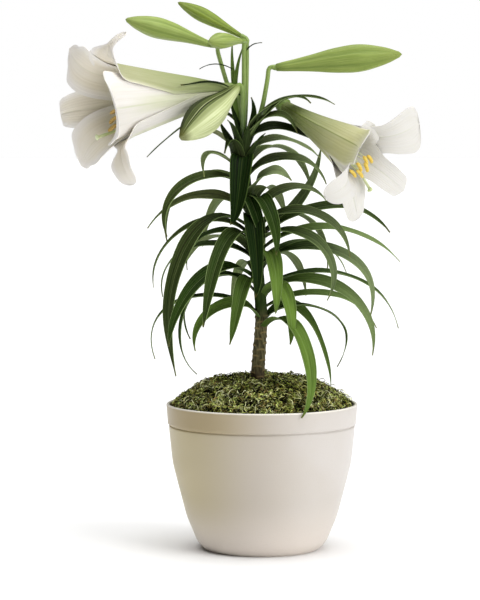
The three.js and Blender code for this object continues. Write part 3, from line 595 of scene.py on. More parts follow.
class Finish:
    """A surface finish, put together node by node round one shader."""

    def __init__(self, name, roughness, **sockets):
        self.material = bpy.data.materials.new(name)
        self.material.use_nodes = True
        self.tree = self.material.node_tree
        self.shader = self.tree.nodes["Principled BSDF"]
        for key, value in {"Roughness": roughness, **sockets}.items():
            self.shader.inputs[key.replace("_", " ")].default_value = value

    def node(self, kind, inputs=None, **settings):
        made = self.tree.nodes.new("ShaderNode" + kind)
        for key, value in settings.items():
            setattr(made, key, value)
        for key, value in (inputs or {}).items():
            self.feed(made.inputs[key], value)
        return made

    def feed(self, socket, value):
        if isinstance(value, bpy.types.NodeSocket):
            self.tree.links.new(value, socket)
        else:
            socket.default_value = value

    def maths(self, operation, *values):
        made = self.node("Math", dict(enumerate(values)), operation=operation)
        return made.outputs[0]

    def times(self, first, second):
        return self.maths("MULTIPLY", first, second)

    def plus(self, first, second):
        return self.maths("ADD", first, second)

    def away(self, value, middle):
        """How far a value lies from another, to either side."""
        return self.maths("ABSOLUTE", self.maths("SUBTRACT", value, middle))

    def objects(self):
        """The place on the object, in metres."""
        return self.node("TexCoord").outputs["Object"]

    def apart(self, vector):
        """The three parts of a place."""
        return self.node("SeparateXYZ", {0: vector}).outputs

    def mapped(self):
        """Across and along the piece's own map."""
        parts = self.apart(self.node("UVMap", uv_map="UVMap").outputs[0])
        return parts[0], parts[1]

    def kept(self, name):
        """A value that was painted on the piece."""
        return self.node("Attribute", attribute_name=name).outputs["Fac"]

    def grain(self, vector, scale, detail=3.0, roughness=0.5):
        inputs = {"Vector": vector, "Scale": scale, "Detail": detail, "Roughness": roughness}
        return self.node("TexNoise", inputs).outputs["Fac"]

    def upright_grain(self, around, upward, detail):
        """Grain drawn out upwards, so fine around and so fine upward."""
        stretched = self.node("Mapping", {0: self.objects(), 3: (around, around, upward)})
        return self.grain(stretched.outputs[0], 1.0, detail)

    def map_grain(self, across, along, shift=0.0, detail=3.0):
        """Grain on the piece's own map, so fine across it and so fine along it."""
        x, y = self.mapped()
        vector = self.node("CombineXYZ", {0: self.times(x, across), 1: self.times(y, along), 2: shift})
        return self.grain(vector.outputs[0], 1.0, detail)

    def band(self, value, low, high, start=0.0, end=1.0):
        """Runs from start to end as value goes from low to high."""
        inputs = {0: value, 1: low, 2: high, 3: start, 4: end}
        return self.node("MapRange", inputs, interpolation_type="SMOOTHSTEP").outputs[0]

    def mix(self, share, first, second):
        return self.node("Mix", {0: share, 6: first, 7: second}, data_type="RGBA").outputs[2]

    def layered(self, base, *layers):
        """Colours laid over a base, each by its own share, or by a band of the value given with it."""
        base = shade(base) if isinstance(base, str) else base
        for code, value, *ends in layers:
            share = self.band(value, *ends) if ends else value
            base = self.mix(share, base, shade(code))
        return base

    def coloured(self, base, *layers):
        self.feed(self.shader.inputs["Base Color"], self.layered(base, *layers))

    def rough(self, value):
        self.feed(self.shader.inputs["Roughness"], value)

    def raised(self, height, distance):
        """Relief from a height between 0 and 1, its depth in millimetres."""
        made = self.node("Bump", {"Height": height, "Distance": distance * MM, "Strength": 1.0})
        self.feed(self.shader.inputs["Normal"], made.outputs[0])


def pot_glaze():
    """An ivory glaze with faint rings of the wheel, and painted light and shade: lighter on the right,
    darker and warmer on the left and on the left of the rim band, lighter at the foot, with a painted
    highlight along the lip.
    """
    finish = Finish("ivory_glaze", 0.42, Coat_Weight=0.12, Coat_Roughness=0.25)
    place = finish.objects()
    side, _, height = finish.apart(place)
    cloud = finish.grain(place, 14.0, 4.0)
    speck = finish.grain(place, 900.0, 2.0)
    # Painted shade of the leaves over the left of the rim band.
    rim_band_painted_shade = finish.times(finish.band(height, 0.122, 0.126), finish.band(side, -0.07, 0.02, 0.85, 0.0))
    finish.coloured(
        "#bfb6ab",
        # Painted light: lighter towards the right, where the key light falls.
        ("#cec8c2", side, -0.01, 0.055),
        ("#c2b8a8", cloud, 0.35, 0.65, 0.0, 0.25),
        # Painted shade: darker and warmer towards the left, away from the key light.
        ("#c0b286", side, -0.085, 0.005, 0.9, 0.0),
        ("#a5926a", rim_band_painted_shade),
        # Painted light at the foot, as bounced up from the floor.
        ("#e2d8ce", height, 0.0, 0.06, 0.9, 0.0),
        # Painted highlight along the lip.
        ("#f6f2e6", height, 0.1432, 0.1445, 0.0, 0.9),
        ("#b8ae9c", speck, 0.62, 0.75, 0.0, 0.25),
    )
    finish.rough(finish.band(cloud, 0.3, 0.7, 0.36, 0.48))
    rings = finish.maths("SINE", finish.plus(finish.times(height, 2400.0), finish.times(cloud, 6.0)))
    finish.raised(finish.plus(finish.times(rings, 0.05), speck), 0.08)
    return finish.material


def soil_crumb():
    finish = Finish("potting_soil", 0.95)
    place = finish.objects()
    crumb = finish.node("TexVoronoi", {"Vector": place, "Scale": 320.0}).outputs["Distance"]
    grain = finish.grain(place, 180.0, 5.0)
    finish.coloured("#1d140d", ("#5a4531", grain))
    finish.raised(finish.plus(crumb, grain), 1.6)
    return finish.material


def bulb_scale():
    finish = Finish("bulb_scale", 0.55)
    streak = finish.upright_grain(260.0, 30.0, 3.0)
    finish.coloured("#efe6c9", ("#c9b68c", streak))
    finish.raised(streak, 0.6)
    return finish.material


def moss_thread(name, light, dark, tip):
    """One colour of moss: by patches its light or its tip colour, with painted shade taking it towards its
    near-black dark colour at the foot of each strand and over strands drawn darker.
    """
    finish = Finish(name, 0.9, Specular_IOR_Level=0.1)
    place = finish.objects()
    finish.coloured(
        light,
        (tip, finish.grain(place, 38.0, 2.0), 0.45, 0.65),
        # Painted shade: dark where the tint is low, towards the foot of each strand.
        (dark, finish.kept("tint"), 0.22, 0.8, 1.0, 0.0),
    )
    finish.raised(finish.grain(place, 1800.0, 1.0), 0.1)
    return finish.material


def moss_shadow():
    finish = Finish("moss_shadow", 1.0, Specular_IOR_Level=0.0)
    grain = finish.grain(finish.objects(), 260.0, 5.0, 0.7)
    finish.coloured("#0c0c04", ("#2c2b10", grain, 0.45, 0.75))
    finish.raised(grain, 2.5)
    return finish.material


FADED_LEAF = "#98a878"
WITHERED_TIP = "#8a7f45"


def leaf_face(name, dark, middle, bright, rib, dull, gloss):
    """A leaf's skin: fine lengthwise veins, pale midrib and margins, its own shade of green, with painted
    light on the leaves tinted bright and painted shade towards its root.
    """
    finish = Finish(name, gloss, Specular_IOR_Level=0.05)
    across, along = finish.mapped()
    tint = finish.kept("tint")
    shift = finish.times(tint, 17.0)
    fine = finish.map_grain(30.0, 1.0, shift, 2.0)
    broad = finish.map_grain(4.0, 3.0, shift, 2.0)
    tone_and_painted_light = finish.times(tint, finish.band(broad, 0.2, 0.7, 0.55, 1.0))
    worn = finish.times(finish.kept("dull"), finish.band(broad, 0.3, 0.7, 0.45, 1.0))
    faded = finish.times(finish.kept("pale"), finish.band(along, 0.2, 0.85, 0.1, 0.95))
    faded = finish.times(faded, finish.band(broad, 0.2, 0.6, 0.75, 1.0))
    off_middle = finish.away(across, 0.5)
    veins = finish.maths("SINE", finish.times(across, 14 * math.pi))
    finish.coloured(
        dark,
        (middle, fine, 0.35, 0.65),
        # Painted light on the leaves tinted as nearest to the light, and a little tone at random on the
        # others.
        (bright, tone_and_painted_light),
        (dull, worn),
        (FADED_LEAF, faded),
        (rib, veins, 0.6, 1.0, 0.0, 0.12),
        (rib, off_middle, 0.0, 0.03, 0.4, 0.0),
        (rib, off_middle, 0.455, 0.49, 0.0, 0.75),
        (WITHERED_TIP, along, 0.93, 1.0, 0.0, 0.4),
        # Painted shade: darker towards the root, where the leaf meets the stem.
        (dark, along, 0.0, 0.3, 0.65, 0.0),
    )
    finish.rough(finish.band(fine, 0.3, 0.7, gloss, gloss + 0.12))
    finish.raised(finish.plus(finish.times(veins, 0.3), fine), 0.3)
    return finish.material


def stalk_skin():
    """Streaked green, with painted shade making it dark low down, where the stalks leave the leaves, and
    light above.
    """
    finish = Finish("stalk_skin", 0.42)
    streak = finish.upright_grain(900.0, 40.0, 2.0)
    height = finish.apart(finish.objects())[2]
    low = finish.layered("#263d12", ("#4a6626", streak))
    high = finish.layered("#6d883b", ("#9cb262", streak))
    # Painted shade: dark low down, among the leaves, light above.
    finish.coloured(finish.mix(finish.band(height, 0.405, 0.47), low, high))
    finish.raised(streak, 0.25)
    return finish.material


def stem_bark():
    """Brown bark with pale scar ledges, reddish at the moss and green above the bare part."""
    finish = Finish("stem_bark", 0.65, Specular_IOR_Level=0.15)
    height = finish.apart(finish.objects())[2]
    grain = finish.upright_grain(500.0, 120.0, 4.0)
    bark = finish.layered(
        "#3c3620",
        ("#7a7350", grain, 0.3, 0.7),
        ("#46262a", height, 0.165, 0.185, 0.6, 0.0),
        ("#a08a5c", finish.kept("ledge"), 0.35, 0.9, 0.0, 0.6),
    )
    green = finish.layered("#182a0c", ("#42591f", grain))
    finish.coloured(finish.mix(finish.band(height, 0.222, 0.245), bark, green))
    finish.raised(grain, 0.5)
    return finish.material


def bud_skin(name, furrow, body, ridge, tip):
    """A bud's skin: finely streaked, with painted shade darkening the furrows between its ridges, so that
    the ridges stand paler.
    """
    finish = Finish(
        name, 0.45, Subsurface_Weight=0.08, Subsurface_Radius=(0.003, 0.004, 0.001), Specular_IOR_Level=0.2,
    )
    around, along = finish.mapped()
    wave = finish.maths("COSINE", finish.times(around, 12 * math.pi))
    fine = finish.map_grain(90.0, 3.0)
    finish.coloured(
        body,
        (ridge, fine, 0.25, 0.75),
        # Painted shade in the furrows between the ridges.
        (furrow, finish.plus(finish.times(wave, 0.5), 0.5), 0.0, 0.35, 0.4, 0.0),
        (body, finish.grain(finish.objects(), 60.0, 2.0), 0.35, 0.7, 0.0, 0.35),
        (tip, along, 0.72, 0.98, 0.0, 0.75),
        (furrow, along, 0.0, 0.12, 0.6, 0.0),
    )
    finish.raised(fine, 0.35)
    return finish.material


def opening_bud_skin():
    """The bud about to open: pale, with painted shade that darkens it towards its upper side, dark green
    there and near black where it faces most, with a light fold and a dark vein.
    """
    finish = Finish("opening_bud_skin", 0.6, Specular_IOR_Level=0.1)
    _, along = finish.mapped()
    shade_facing = finish.kept("shade_facing")
    fine = finish.map_grain(80.0, 2.0)
    # Painted shade: the pale side darkens towards the shaded upper side.
    pale = finish.layered(
        "#b3bd84", ("#d6ddae", fine, 0.3, 0.7), ("#8b9560", shade_facing, 0.38, 0.6, 0.0, 0.9),
    )
    # Painted shade: the upper side dark green.
    green = finish.layered("#333c1a", ("#66723e", fine, 0.3, 0.7))
    vein = finish.band(finish.away(shade_facing, 0.772), 0.008, 0.026, 0.95, 0.0)
    finish.coloured(
        finish.mix(finish.band(shade_facing, 0.675, 0.7), pale, green),
        # Painted shade: near black where the upper side faces most.
        ("#1b210b", shade_facing, 0.92, 0.97, 0.0, 0.8),
        ("#12170a", finish.times(vein, finish.band(along, 0.3, 0.6))),
        ("#a3aa78", finish.away(shade_facing, 0.8), 0.006, 0.02, 0.8, 0.0),
        ("#2a3112", finish.away(shade_facing, 0.68), 0.006, 0.022, 0.6, 0.0),
        ("#8b9a50", along, 0.0, 0.2, 0.7, 0.0),
        ("#5c5c2c", along, 0.9, 0.98, 0.0, 0.75),
    )
    finish.raised(fine, 0.4)
    return finish.material


def tepal_face(name, margin, heart, foot, rib, heart_edge, reach):
    """One face of a tepal: white, with fine ribs, a green heart and a darker foot."""
    finish = Finish(
        name, 0.55, Subsurface_Weight=0.2, Subsurface_Radius=(0.004, 0.004, 0.003), Specular_IOR_Level=0.2,
    )
    across, along = finish.mapped()
    tint = finish.kept("tint")
    off_middle = finish.away(across, 0.5)
    fine = finish.map_grain(42.0, 2.0, tint)
    broad = finish.map_grain(6.0, 5.0, tint, 2.0)
    inner = finish.times(
        finish.band(off_middle, *heart_edge, 1.0, 0.0), finish.band(along, reach * 0.6, reach, 1.0, 0.0),
    )
    low = finish.band(along, reach * 0.08, reach * 0.62, 0.95, 0.0)
    line = finish.band(off_middle, 0.0, 0.022, 0.7, 0.0)
    finish.coloured(
        margin,
        ("#d6d1c2", fine, 0.3, 0.75, 0.0, 0.3),
        (heart, finish.times(inner, finish.band(broad, 0.2, 0.7, 0.8, 1.0))),
        (foot, finish.times(low, finish.band(fine, 0.2, 0.8, 1.0, 0.7))),
        (rib, finish.times(line, finish.band(along, 0.72, 1.0, 1.0, 0.0))),
    )
    ribs = finish.maths("SINE", finish.times(across, 88.0))
    finish.raised(finish.plus(finish.times(ribs, 0.2), fine), 0.28)
    return finish.material


def pollen(name, light, dark):
    finish = Finish(name, 0.85)
    grain = finish.node("TexVoronoi", {"Vector": finish.objects(), "Scale": 1500.0}).outputs["Distance"]
    finish.coloured(light, (dark, grain, 0.1, 0.6))
    finish.raised(grain, 0.4)
    return finish.material


def thread_skin(name, pale, green):
    finish = Finish(name, 0.45, Subsurface_Weight=0.2, Subsurface_Radius=(0.002, 0.002, 0.001))
    grain = finish.grain(finish.objects(), 90.0, 2.0)
    finish.coloured(pale, (green, grain, 0.3, 0.7))
    finish.raised(grain, 0.15)
    return finish.material


GLAZE = pot_glaze()
SOIL = soil_crumb()
BULB = bulb_scale()
MOSS_SHADOW = moss_shadow()
# Moss colours: light, the near black of the painted shade, and tip.
MOSS_GREEN = moss_thread("moss_green", "#d6e482", "#0c0e01", "#b2c054")
MOSS_OLIVE = moss_thread("moss_olive", "#c0bc68", "#0e0c01", "#a4a448")
MOSS_PALE = moss_thread("moss_pale", "#f6f8be", "#2c2d0a", "#e0e08c")
MOSS_BROWN = moss_thread("moss_brown", "#a58e56", "#1a1204", "#79622c")
LEAF_UPPER = leaf_face("leaf_upper", "#0b1c05", "#223f0d", "#80a044", "#8fa468", "#63643f", 0.4)
LEAF_LOWER = leaf_face("leaf_lower", "#243a10", "#56703a", "#83a04a", "#97ab70", "#8b8b68", 0.55)
# Darker copies of the leaf faces: painted shade for the leaves under the blooms and at the crown, and for
# two bracts there.
CROWN_SHADE_UPPER = leaf_face("crown_leaf_shade_upper", "#050d02", "#142a08", "#38551c", "#566b34", "#40422a", 0.45)
CROWN_SHADE_LOWER = leaf_face("crown_leaf_shade_lower", "#101f07", "#2a401a", "#45602a", "#5f733f", "#4c4e34", 0.6)
BRACT_FACE = leaf_face("bract_face", "#0d1405", "#26331a", "#33421f", "#3d4a2c", "#33391f", 0.6)
STALKLIKE_FACE = leaf_face("stalk_like_face", "#48662a", "#7b9645", "#8ea556", "#96a866", "#6f8442", 0.5)
STALK = stalk_skin()
STEM = stem_bark()
BUD = bud_skin("bud_skin", "#5d7430", "#84984a", "#a3b360", "#8f9d4e")
TOP_BUD = bud_skin("top_bud_skin", "#51661f", "#768b30", "#93a547", "#84923f")
YOUNG_BUD = bud_skin("young_bud_skin", "#5d7430", "#8c9f52", "#aabb6c", "#94a458")
OPENING_BUD = opening_bud_skin()
LEFT_FRONT = tepal_face("left_tepal_front", "#f2eee9", "#e4dcc9", "#bcc48a", "#d8d4bc", (0.25, 0.5), 1.1)
RIGHT_FRONT = tepal_face("right_tepal_front", "#dddbd6", "#d6d8b4", "#bcc48a", "#cfd0bb", (0.1, 0.3), 0.55)
LEFT_OUTER_BACK = tepal_face(
    "left_outer_tepal_back", "#d1d1b2", "#a6a87e", "#7f8f52", "#96a068", (0.42, 0.5), 1.0,
)
RIGHT_OUTER_BACK = tepal_face(
    "right_outer_tepal_back", "#e2dfca", "#bdbb88", "#4a6010", "#788638", (0.42, 0.5), 1.1,
)
INNER_BACK = tepal_face("inner_tepal_back", "#e8e4de", "#d8d9be", "#b9c08c", "#cdd0b0", (0.06, 0.2), 0.75)
LEFT_POLLEN = pollen("golden_pollen", "#ead088", "#ab873e")
RIGHT_POLLEN = pollen("yellow_pollen", "#fff08a", "#e6c04a")
FILAMENT = thread_skin("filament_skin", "#eef0cf", "#cdd99b")
STYLE = thread_skin("style_skin", "#e0e6c0", "#b9c686")


# Pot

def wall_radius(height):
    if height >= BAND_BOTTOM:
        return lerp(BAND_RADIUS, LIP_RADIUS, (height - BAND_BOTTOM) / (POT_HEIGHT - BAND_BOTTOM))
    return value_along(POT_WALL_CURVE, height)


def drawn_up(name, sides, profile):
    """A vessel drawn up ring by ring from a disc, as on a wheel: [radius, height] in millimetres."""
    none_picked()
    radius, height = profile[0]
    bpy.ops.mesh.primitive_circle_add(
        vertices=sides, radius=radius * MM, fill_type="NGON", location=(0, 0, height * MM),
    )
    bpy.ops.object.transform_apply()
    vessel = named(name)
    bpy.ops.object.mode_set(mode="EDIT")
    for next_radius, next_height in profile[1:]:
        rise = (0, 0, (next_height - height) * MM)
        bpy.ops.mesh.extrude_region_move(TRANSFORM_OT_translate={"value": rise})
        grow = next_radius / radius
        bpy.ops.transform.resize(value=(grow, grow, 1), center_override=(0, 0, next_height * MM))
        radius, height = next_radius, next_height
    bpy.ops.mesh.select_all(action="SELECT")
    bpy.ops.mesh.normals_make_consistent(inside=False)
    bpy.ops.object.mode_set(mode="OBJECT")
    return vessel


def rounded(centre_radius, centre_height, size, start, end, steps):
    """Part of a small circle in the profile, from one angle to another in degrees."""
    points = []
    for step in range(steps + 1):
        angle = math.radians(lerp(start, end, step / steps))
        points.append([centre_radius + size * math.cos(angle), centre_height + size * math.sin(angle)])
    return points


def make_pot():
    outer = [[value_along(POT_WALL_CURVE, height), height] for height in FOOT_RINGS]
    for step in range(1, WALL_RINGS + 2):
        height = FOOT_RINGS[-1] + WALL_STEP * step if step <= WALL_RINGS else WALL_TOP
        around = [value_along(POT_WALL_CURVE, height + offset) for offset in (-4, -2, 0, 2, 4)]
        outer.append([sum(around) / len(around), height])
    groove = [
        [92.5, 122.6], [92.2, BAND_BOTTOM - GROOVE], [GROOVE_RADIUS, BAND_BOTTOM - GROOVE + 0.4],
        [GROOVE_RADIUS, BAND_BOTTOM - 0.5], [92.3, BAND_BOTTOM - 0.2], [BAND_RADIUS - 0.3, BAND_BOTTOM],
        [BAND_RADIUS, BAND_BOTTOM + 0.4],
    ]
    band = [[wall_radius(height), height] for height in (128, 132, 136, 140)]
    outer_lip = rounded(LIP_RADIUS - LIP_ROUND, POT_HEIGHT - LIP_ROUND, LIP_ROUND, 0, 90, 6)
    inner_lip = rounded(LIP_RADIUS - POT_WALL + LIP_ROUND, POT_HEIGHT - LIP_ROUND, LIP_ROUND, 90, 180, 6)
    inner = [[wall_radius(height) - POT_WALL, height] for height in (122, 87, 33, 9.4)]
    profile = [[56.6, 0], *outer, *groove, *band, *outer_lip, *inner_lip, *inner, [57, POT_FLOOR]]
    pot = drawn_up("pot_body", POT_SIDES, profile)
    drills = []
    for hole in range(DRAIN_HOLES):
        angle = hole / DRAIN_HOLES * math.tau + DRAIN_HOLE_TURN
        none_picked()
        bpy.ops.mesh.primitive_cylinder_add(
            vertices=32, radius=DRAIN_HOLE_RADIUS * MM, depth=POT_FLOOR * 3 * MM,
            location=compass(angle) * DRAIN_HOLE_RING * MM,
        )
        drills.append(bpy.context.object)
    drill = joined("drill", drills)
    modified(pot, "BOOLEAN", operation="DIFFERENCE", object=drill, solver="EXACT")
    bpy.data.objects.remove(drill)
    dressed(pot, GLAZE)
    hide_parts("pot")


# Moss

def moss_height(radius, angle):
    """Height of the moss's mound, as the solid has it."""
    dome = MOSS_EDGE + (MOSS_CROWN - MOSS_EDGE) * (1 - (radius / MOSS_RADIUS) ** 3)
    lumps = math.sin(angle * 5 + radius * 0.21) * math.cos(angle * 3 - radius * 0.13)
    depth, width = STEM_HOLLOW
    front_depth, front_width = FRONT_HOLLOW
    dip = depth * hill(radius, width) + front_depth * hill(radius, front_width) * max(-math.sin(angle), 0)
    return dome + lumps * MOSS_LUMPS * ease(MOSS_RADIUS - radius, 0, 30) - dip


def make_moss_bed():
    dome = []
    for ring in range(MOSS_RINGS, 0, -1):
        radius = MOSS_RADIUS * ring / MOSS_RINGS
        dome.append([radius, MOSS_EDGE + (MOSS_RINGS - ring)])
    profile = [[MOSS_RADIUS, SOIL_TOP + GAP], [MOSS_RADIUS, SOIL_TOP + 3], *dome]
    bed = drawn_up("moss_bed", MOSS_SIDES, profile)

    def lumpy(co):
        spot = co / MM
        if spot.z < MOSS_EDGE - 1:
            return spot
        radius = math.hypot(spot.x, spot.y)
        spot.z = moss_height(radius, math.atan2(spot.y, spot.x)) - BED_UNDER_THREADS
        spot.z += 3 * noise.noise(Vector((spot.x, spot.y, 0)) * 0.11) * ease(MOSS_RADIUS - radius, 0, 20)
        return spot

    placed(bed, lumpy)
    dressed(bed, MOSS_SHADOW)
    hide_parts("moss")


def strand_shape(bend, curl, girth, sides=3, steps=6):
    """One moss strand, a unit long: a curled rod that thins to its ends. Its points, how far
    each lies along it, and its faces."""
    points, shares, faces = [], [], []
    heading, place = -bend / 2, Vector((0, 0, 0))
    for step in range(steps + 1):
        share = step / steps
        radius = girth * (0.45 + 0.75 * math.sin(share * math.pi) ** 0.7 - 0.2 * (step % 2))
        aside = compass(heading + math.pi / 2)
        centre = place + UP * (curl * math.sin(share * math.pi))
        for side in range(sides):
            angle = side / sides * math.tau + share * 2
            points.append(centre + about(aside, UP, angle) * radius)
            shares.append(share)
        place = place + compass(heading) / steps
        heading += bend / steps
    for step in range(steps):
        for side in range(sides):
            low, high = step * sides + side, step * sides + (side + 1) % sides
            faces += [(low, high, high + sides), (low, high + sides, low + sides)]
    last = steps * sides
    faces += [(0, 2, 1), (last, last + 1, last + 2)]
    return np.array([tuple(point) for point in points]), np.array(shares), np.array(faces)


def strewn(name, count, seed, finish, shapes, long, lift, tilt, inner=STRANDS_FROM, outer=STRANDS_TO):
    """Strands strewn over the mound, each its own way, in one piece."""
    draw = np.random.default_rng(seed)
    all_points, all_faces, tints_and_foot_shade = [], [], []
    offset = 0
    for index in range(count):
        points, shares, faces = shapes[index % len(shapes)]
        angle = draw.uniform(0, math.tau)
        radius = math.sqrt(draw.uniform(inner**2, outer**2))
        height = moss_height(radius, angle)
        slope = (moss_height(min(radius + 1, MOSS_RADIUS), angle) - moss_height(radius - 1, angle)) / 2
        outward = (compass(angle) + UP * slope).normalized()
        sideways = compass(angle + math.pi / 2)
        normal = outward.cross(sideways)
        forward = about(outward, sideways, draw.uniform(0, math.tau))
        forward = (forward + normal * draw.uniform(-tilt, tilt)).normalized()
        left = normal.cross(forward).normalized()
        turn = np.array([forward, left, forward.cross(left)])
        length = long * draw.uniform(0.65, 1.35)
        spot = compass(angle) * radius + UP * height
        clump = noise.noise(spot * 0.13)
        spot += normal * (lift * draw.uniform(-1.1, 0.9) + 2.2 * clump) - forward * (length * 0.5)
        placed_points = (points * length) @ turn + np.array(spot)
        reach = np.hypot(placed_points[:, 0], placed_points[:, 1])
        keep = np.minimum(1, (MOSS_RADIUS + 1.2) / np.maximum(reach, 1e-6))
        placed_points[:, :2] *= keep[:, None]
        all_points.append(placed_points)
        all_faces.append(faces + offset)
        # Each strand's tint is drawn at random, raised where the clump lifts it, and falls towards the
        # strand's foot, where the moss finish paints shade.
        shade_of_it = draw.uniform(0, 0.9) + 0.35 * clump
        tints_and_foot_shade.append(np.clip(shade_of_it + 0.5 * (shares - 0.5), 0, 1))
        offset += len(points)
    mesh = bpy.data.meshes.new(name)
    mesh.from_pydata(np.concatenate(all_points) * MM, [], np.concatenate(all_faces))
    mesh.attributes.new("tint", "FLOAT", "POINT").data.foreach_set("value", np.concatenate(tints_and_foot_shade))
    piece = bpy.data.objects.new(name, mesh)
    bpy.context.scene.collection.objects.link(piece)
    dressed(piece, finish)


def make_moss():
    make_moss_bed()
    curls = [
        strand_shape(2.6, 0.1, 0.07), strand_shape(-3.4, 0.2, 0.075), strand_shape(1.2, 0.3, 0.06),
        strand_shape(-1.8, 0.05, 0.08), strand_shape(4.2, 0.15, 0.065),
    ]
    wisps = [strand_shape(1.4, 0.3, 0.03), strand_shape(-2.0, 0.2, 0.035), strand_shape(-0.9, 0.4, 0.028)]
    strewn("moss_strands_green", 5200, 3, MOSS_GREEN, curls, 5.4, 2.4, 0.7)
    strewn("moss_strands_olive", 5200, 4, MOSS_OLIVE, curls, 5.0, 2.6, 0.7)
    strewn("moss_strands_pale", 3000, 5, MOSS_PALE, curls, 4.8, 2.8, 0.7)
    strewn("moss_strands_brown", 1200, 8, MOSS_BROWN, curls, 5.4, 2.6, 0.7, inner=45)
    strewn("moss_strands_at_stem", 300, 9, MOSS_BROWN, curls, 5.0, 2.4, 0.7, outer=25)
    strewn("moss_wisps", 500, 11, MOSS_PALE, wisps, 11.0, 2.8, 0.5, inner=40)


# Stem, stalks, leaves and bracts

def stem_heights():
    heights = [STEM_LINE[0][0]]
    for reach, step in STEM_RINGS:
        while heights[-1] < reach:
            heights.append(heights[-1] + step)
    return [*heights, STEM_LINE[-1][0]]


def scar_relief(height, angle):
    """How far the leaf scars stand out at a place on the bare stem, 0 to 1."""
    if not BARE_BOTTOM < height < BARE_TOP:
        return 0.0
    relief = 0.0
    first = math.floor((height - 4 - BARE_BOTTOM) / SCAR_STEP)
    for scar in range(first, first + 5):
        above = height - (BARE_BOTTOM + scar * SCAR_STEP)
        turned = (angle - math.radians(SCAR_TURN) * scar + math.pi) % math.tau - math.pi
        wide = 1 - ease(abs(turned), *SCAR_SIDES)
        sag = above + SCAR_SAG * (turned / 0.9) ** 2
        sharp = ease(sag, *SCAR_LEDGE[:2]) * (1 - ease(sag, *SCAR_LEDGE[2:]))
        relief = max(relief, wide * sharp)
    return relief


def make_stem():
    heights = stem_heights()
    rings = len(heights) - 1
    stem = ball("stem", 40, rings)

    def place(co):
        angle, share = as_tube(co)
        height = heights[round(share * rings)]
        radius = smooth_value_along(STEM_LINE, height, 2)
        radius += SCAR_DEPTH * scar_relief(height, angle) - 0.2
        radius += 0.25 * noise.noise((compass(angle) + UP * (height * 0.09)) * 2)
        radius = 0 if at_end(share) else radius
        return Vector((smooth_value_along(STEM_LINE, height), 0, height)) + compass(angle) * radius

    placed(stem, place)

    def ledge(co):
        spot = co / MM
        centre = smooth_value_along(STEM_LINE, spot.z)
        return scar_relief(spot.z, math.atan2(spot.y, spot.x - centre))

    painted(stem, "ledge", ledge)
    dressed(stem, STEM)
    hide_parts("leafy_stem")


def stem_point(height):
    return Vector((value_along(STEM_LINE, height), 0, height))


def leaf_width(share):
    """Share of a leaf's full width at a share of its length."""
    rise = lerp(LEAF_ROOT_WIDTH, 1, math.sin(min(share / LEAF_WIDEST, 1) * math.pi / 2))
    return rise * (1 - share**LEAF_TAPER)


def leaf(name, width, turn, points, values, wave, faces=(LEAF_UPPER, LEAF_LOWER)):
    """A strap leaf on its midrib, folded along it and a little waved at its margins. Its values
    say how bright, how dull and how pale it is."""
    line = EvenBend(points)
    plan = Vector(points[2]) - Vector(points[0])
    plan.z = 0
    level = UP.cross(plan.normalized())
    blade = sheet(name, LEAF_ACROSS, LEAF_ALONG)

    def place(co):
        across = -co.x
        share = (co.y + 1) / 2
        along = line.along(share)
        side = (level - along * level.dot(along)).normalized()
        face = along.cross(side)
        twist = Matrix.Rotation(math.radians(turn * ease(share, 0, TURN_SHARE)), 3, along)
        side, face = twist @ side, twist @ face
        half = max(width * leaf_width(share), 1) / 2
        lift = half * LEAF_FOLD * (2 - share) * abs(across) ** 1.35
        lift += wave * math.sin(share * LEAF_WAVES + wave * 40 + across) * across**2 * ease(share, 0.1, 0.4)
        return line.at(share) + side * (half * across) + face * lift

    placed(blade, place)
    for key, value in zip(("tint", "dull", "pale"), values):
        painted(blade, key, lambda co, value=value: value)
    return two_faced(blade, *faces, BLADE, -1)


def back_leaf_points(index):
    height = lerp(BACK_LOWEST, BACK_HIGHEST, index / (BACK_LEAVES - 1))
    angle = math.radians(BACK_FROM + BACK_SWEEP * fraction(index * GOLDEN))
    length = lerp(*BACK_LENGTHS, fraction(index * 0.414 + 0.3))
    droop = fraction(index * 0.732)
    root = stem_point(height)

    def out(distance, rise):
        return root + compass(angle) * distance + UP * rise

    return [
        root,
        out(length * 0.3, length * 0.17),
        out(length * 0.64, length * (0.13 - 0.1 * droop)),
        out(length * (0.92 - 0.2 * droop), length * (-0.06 - 0.34 * droop)),
    ]


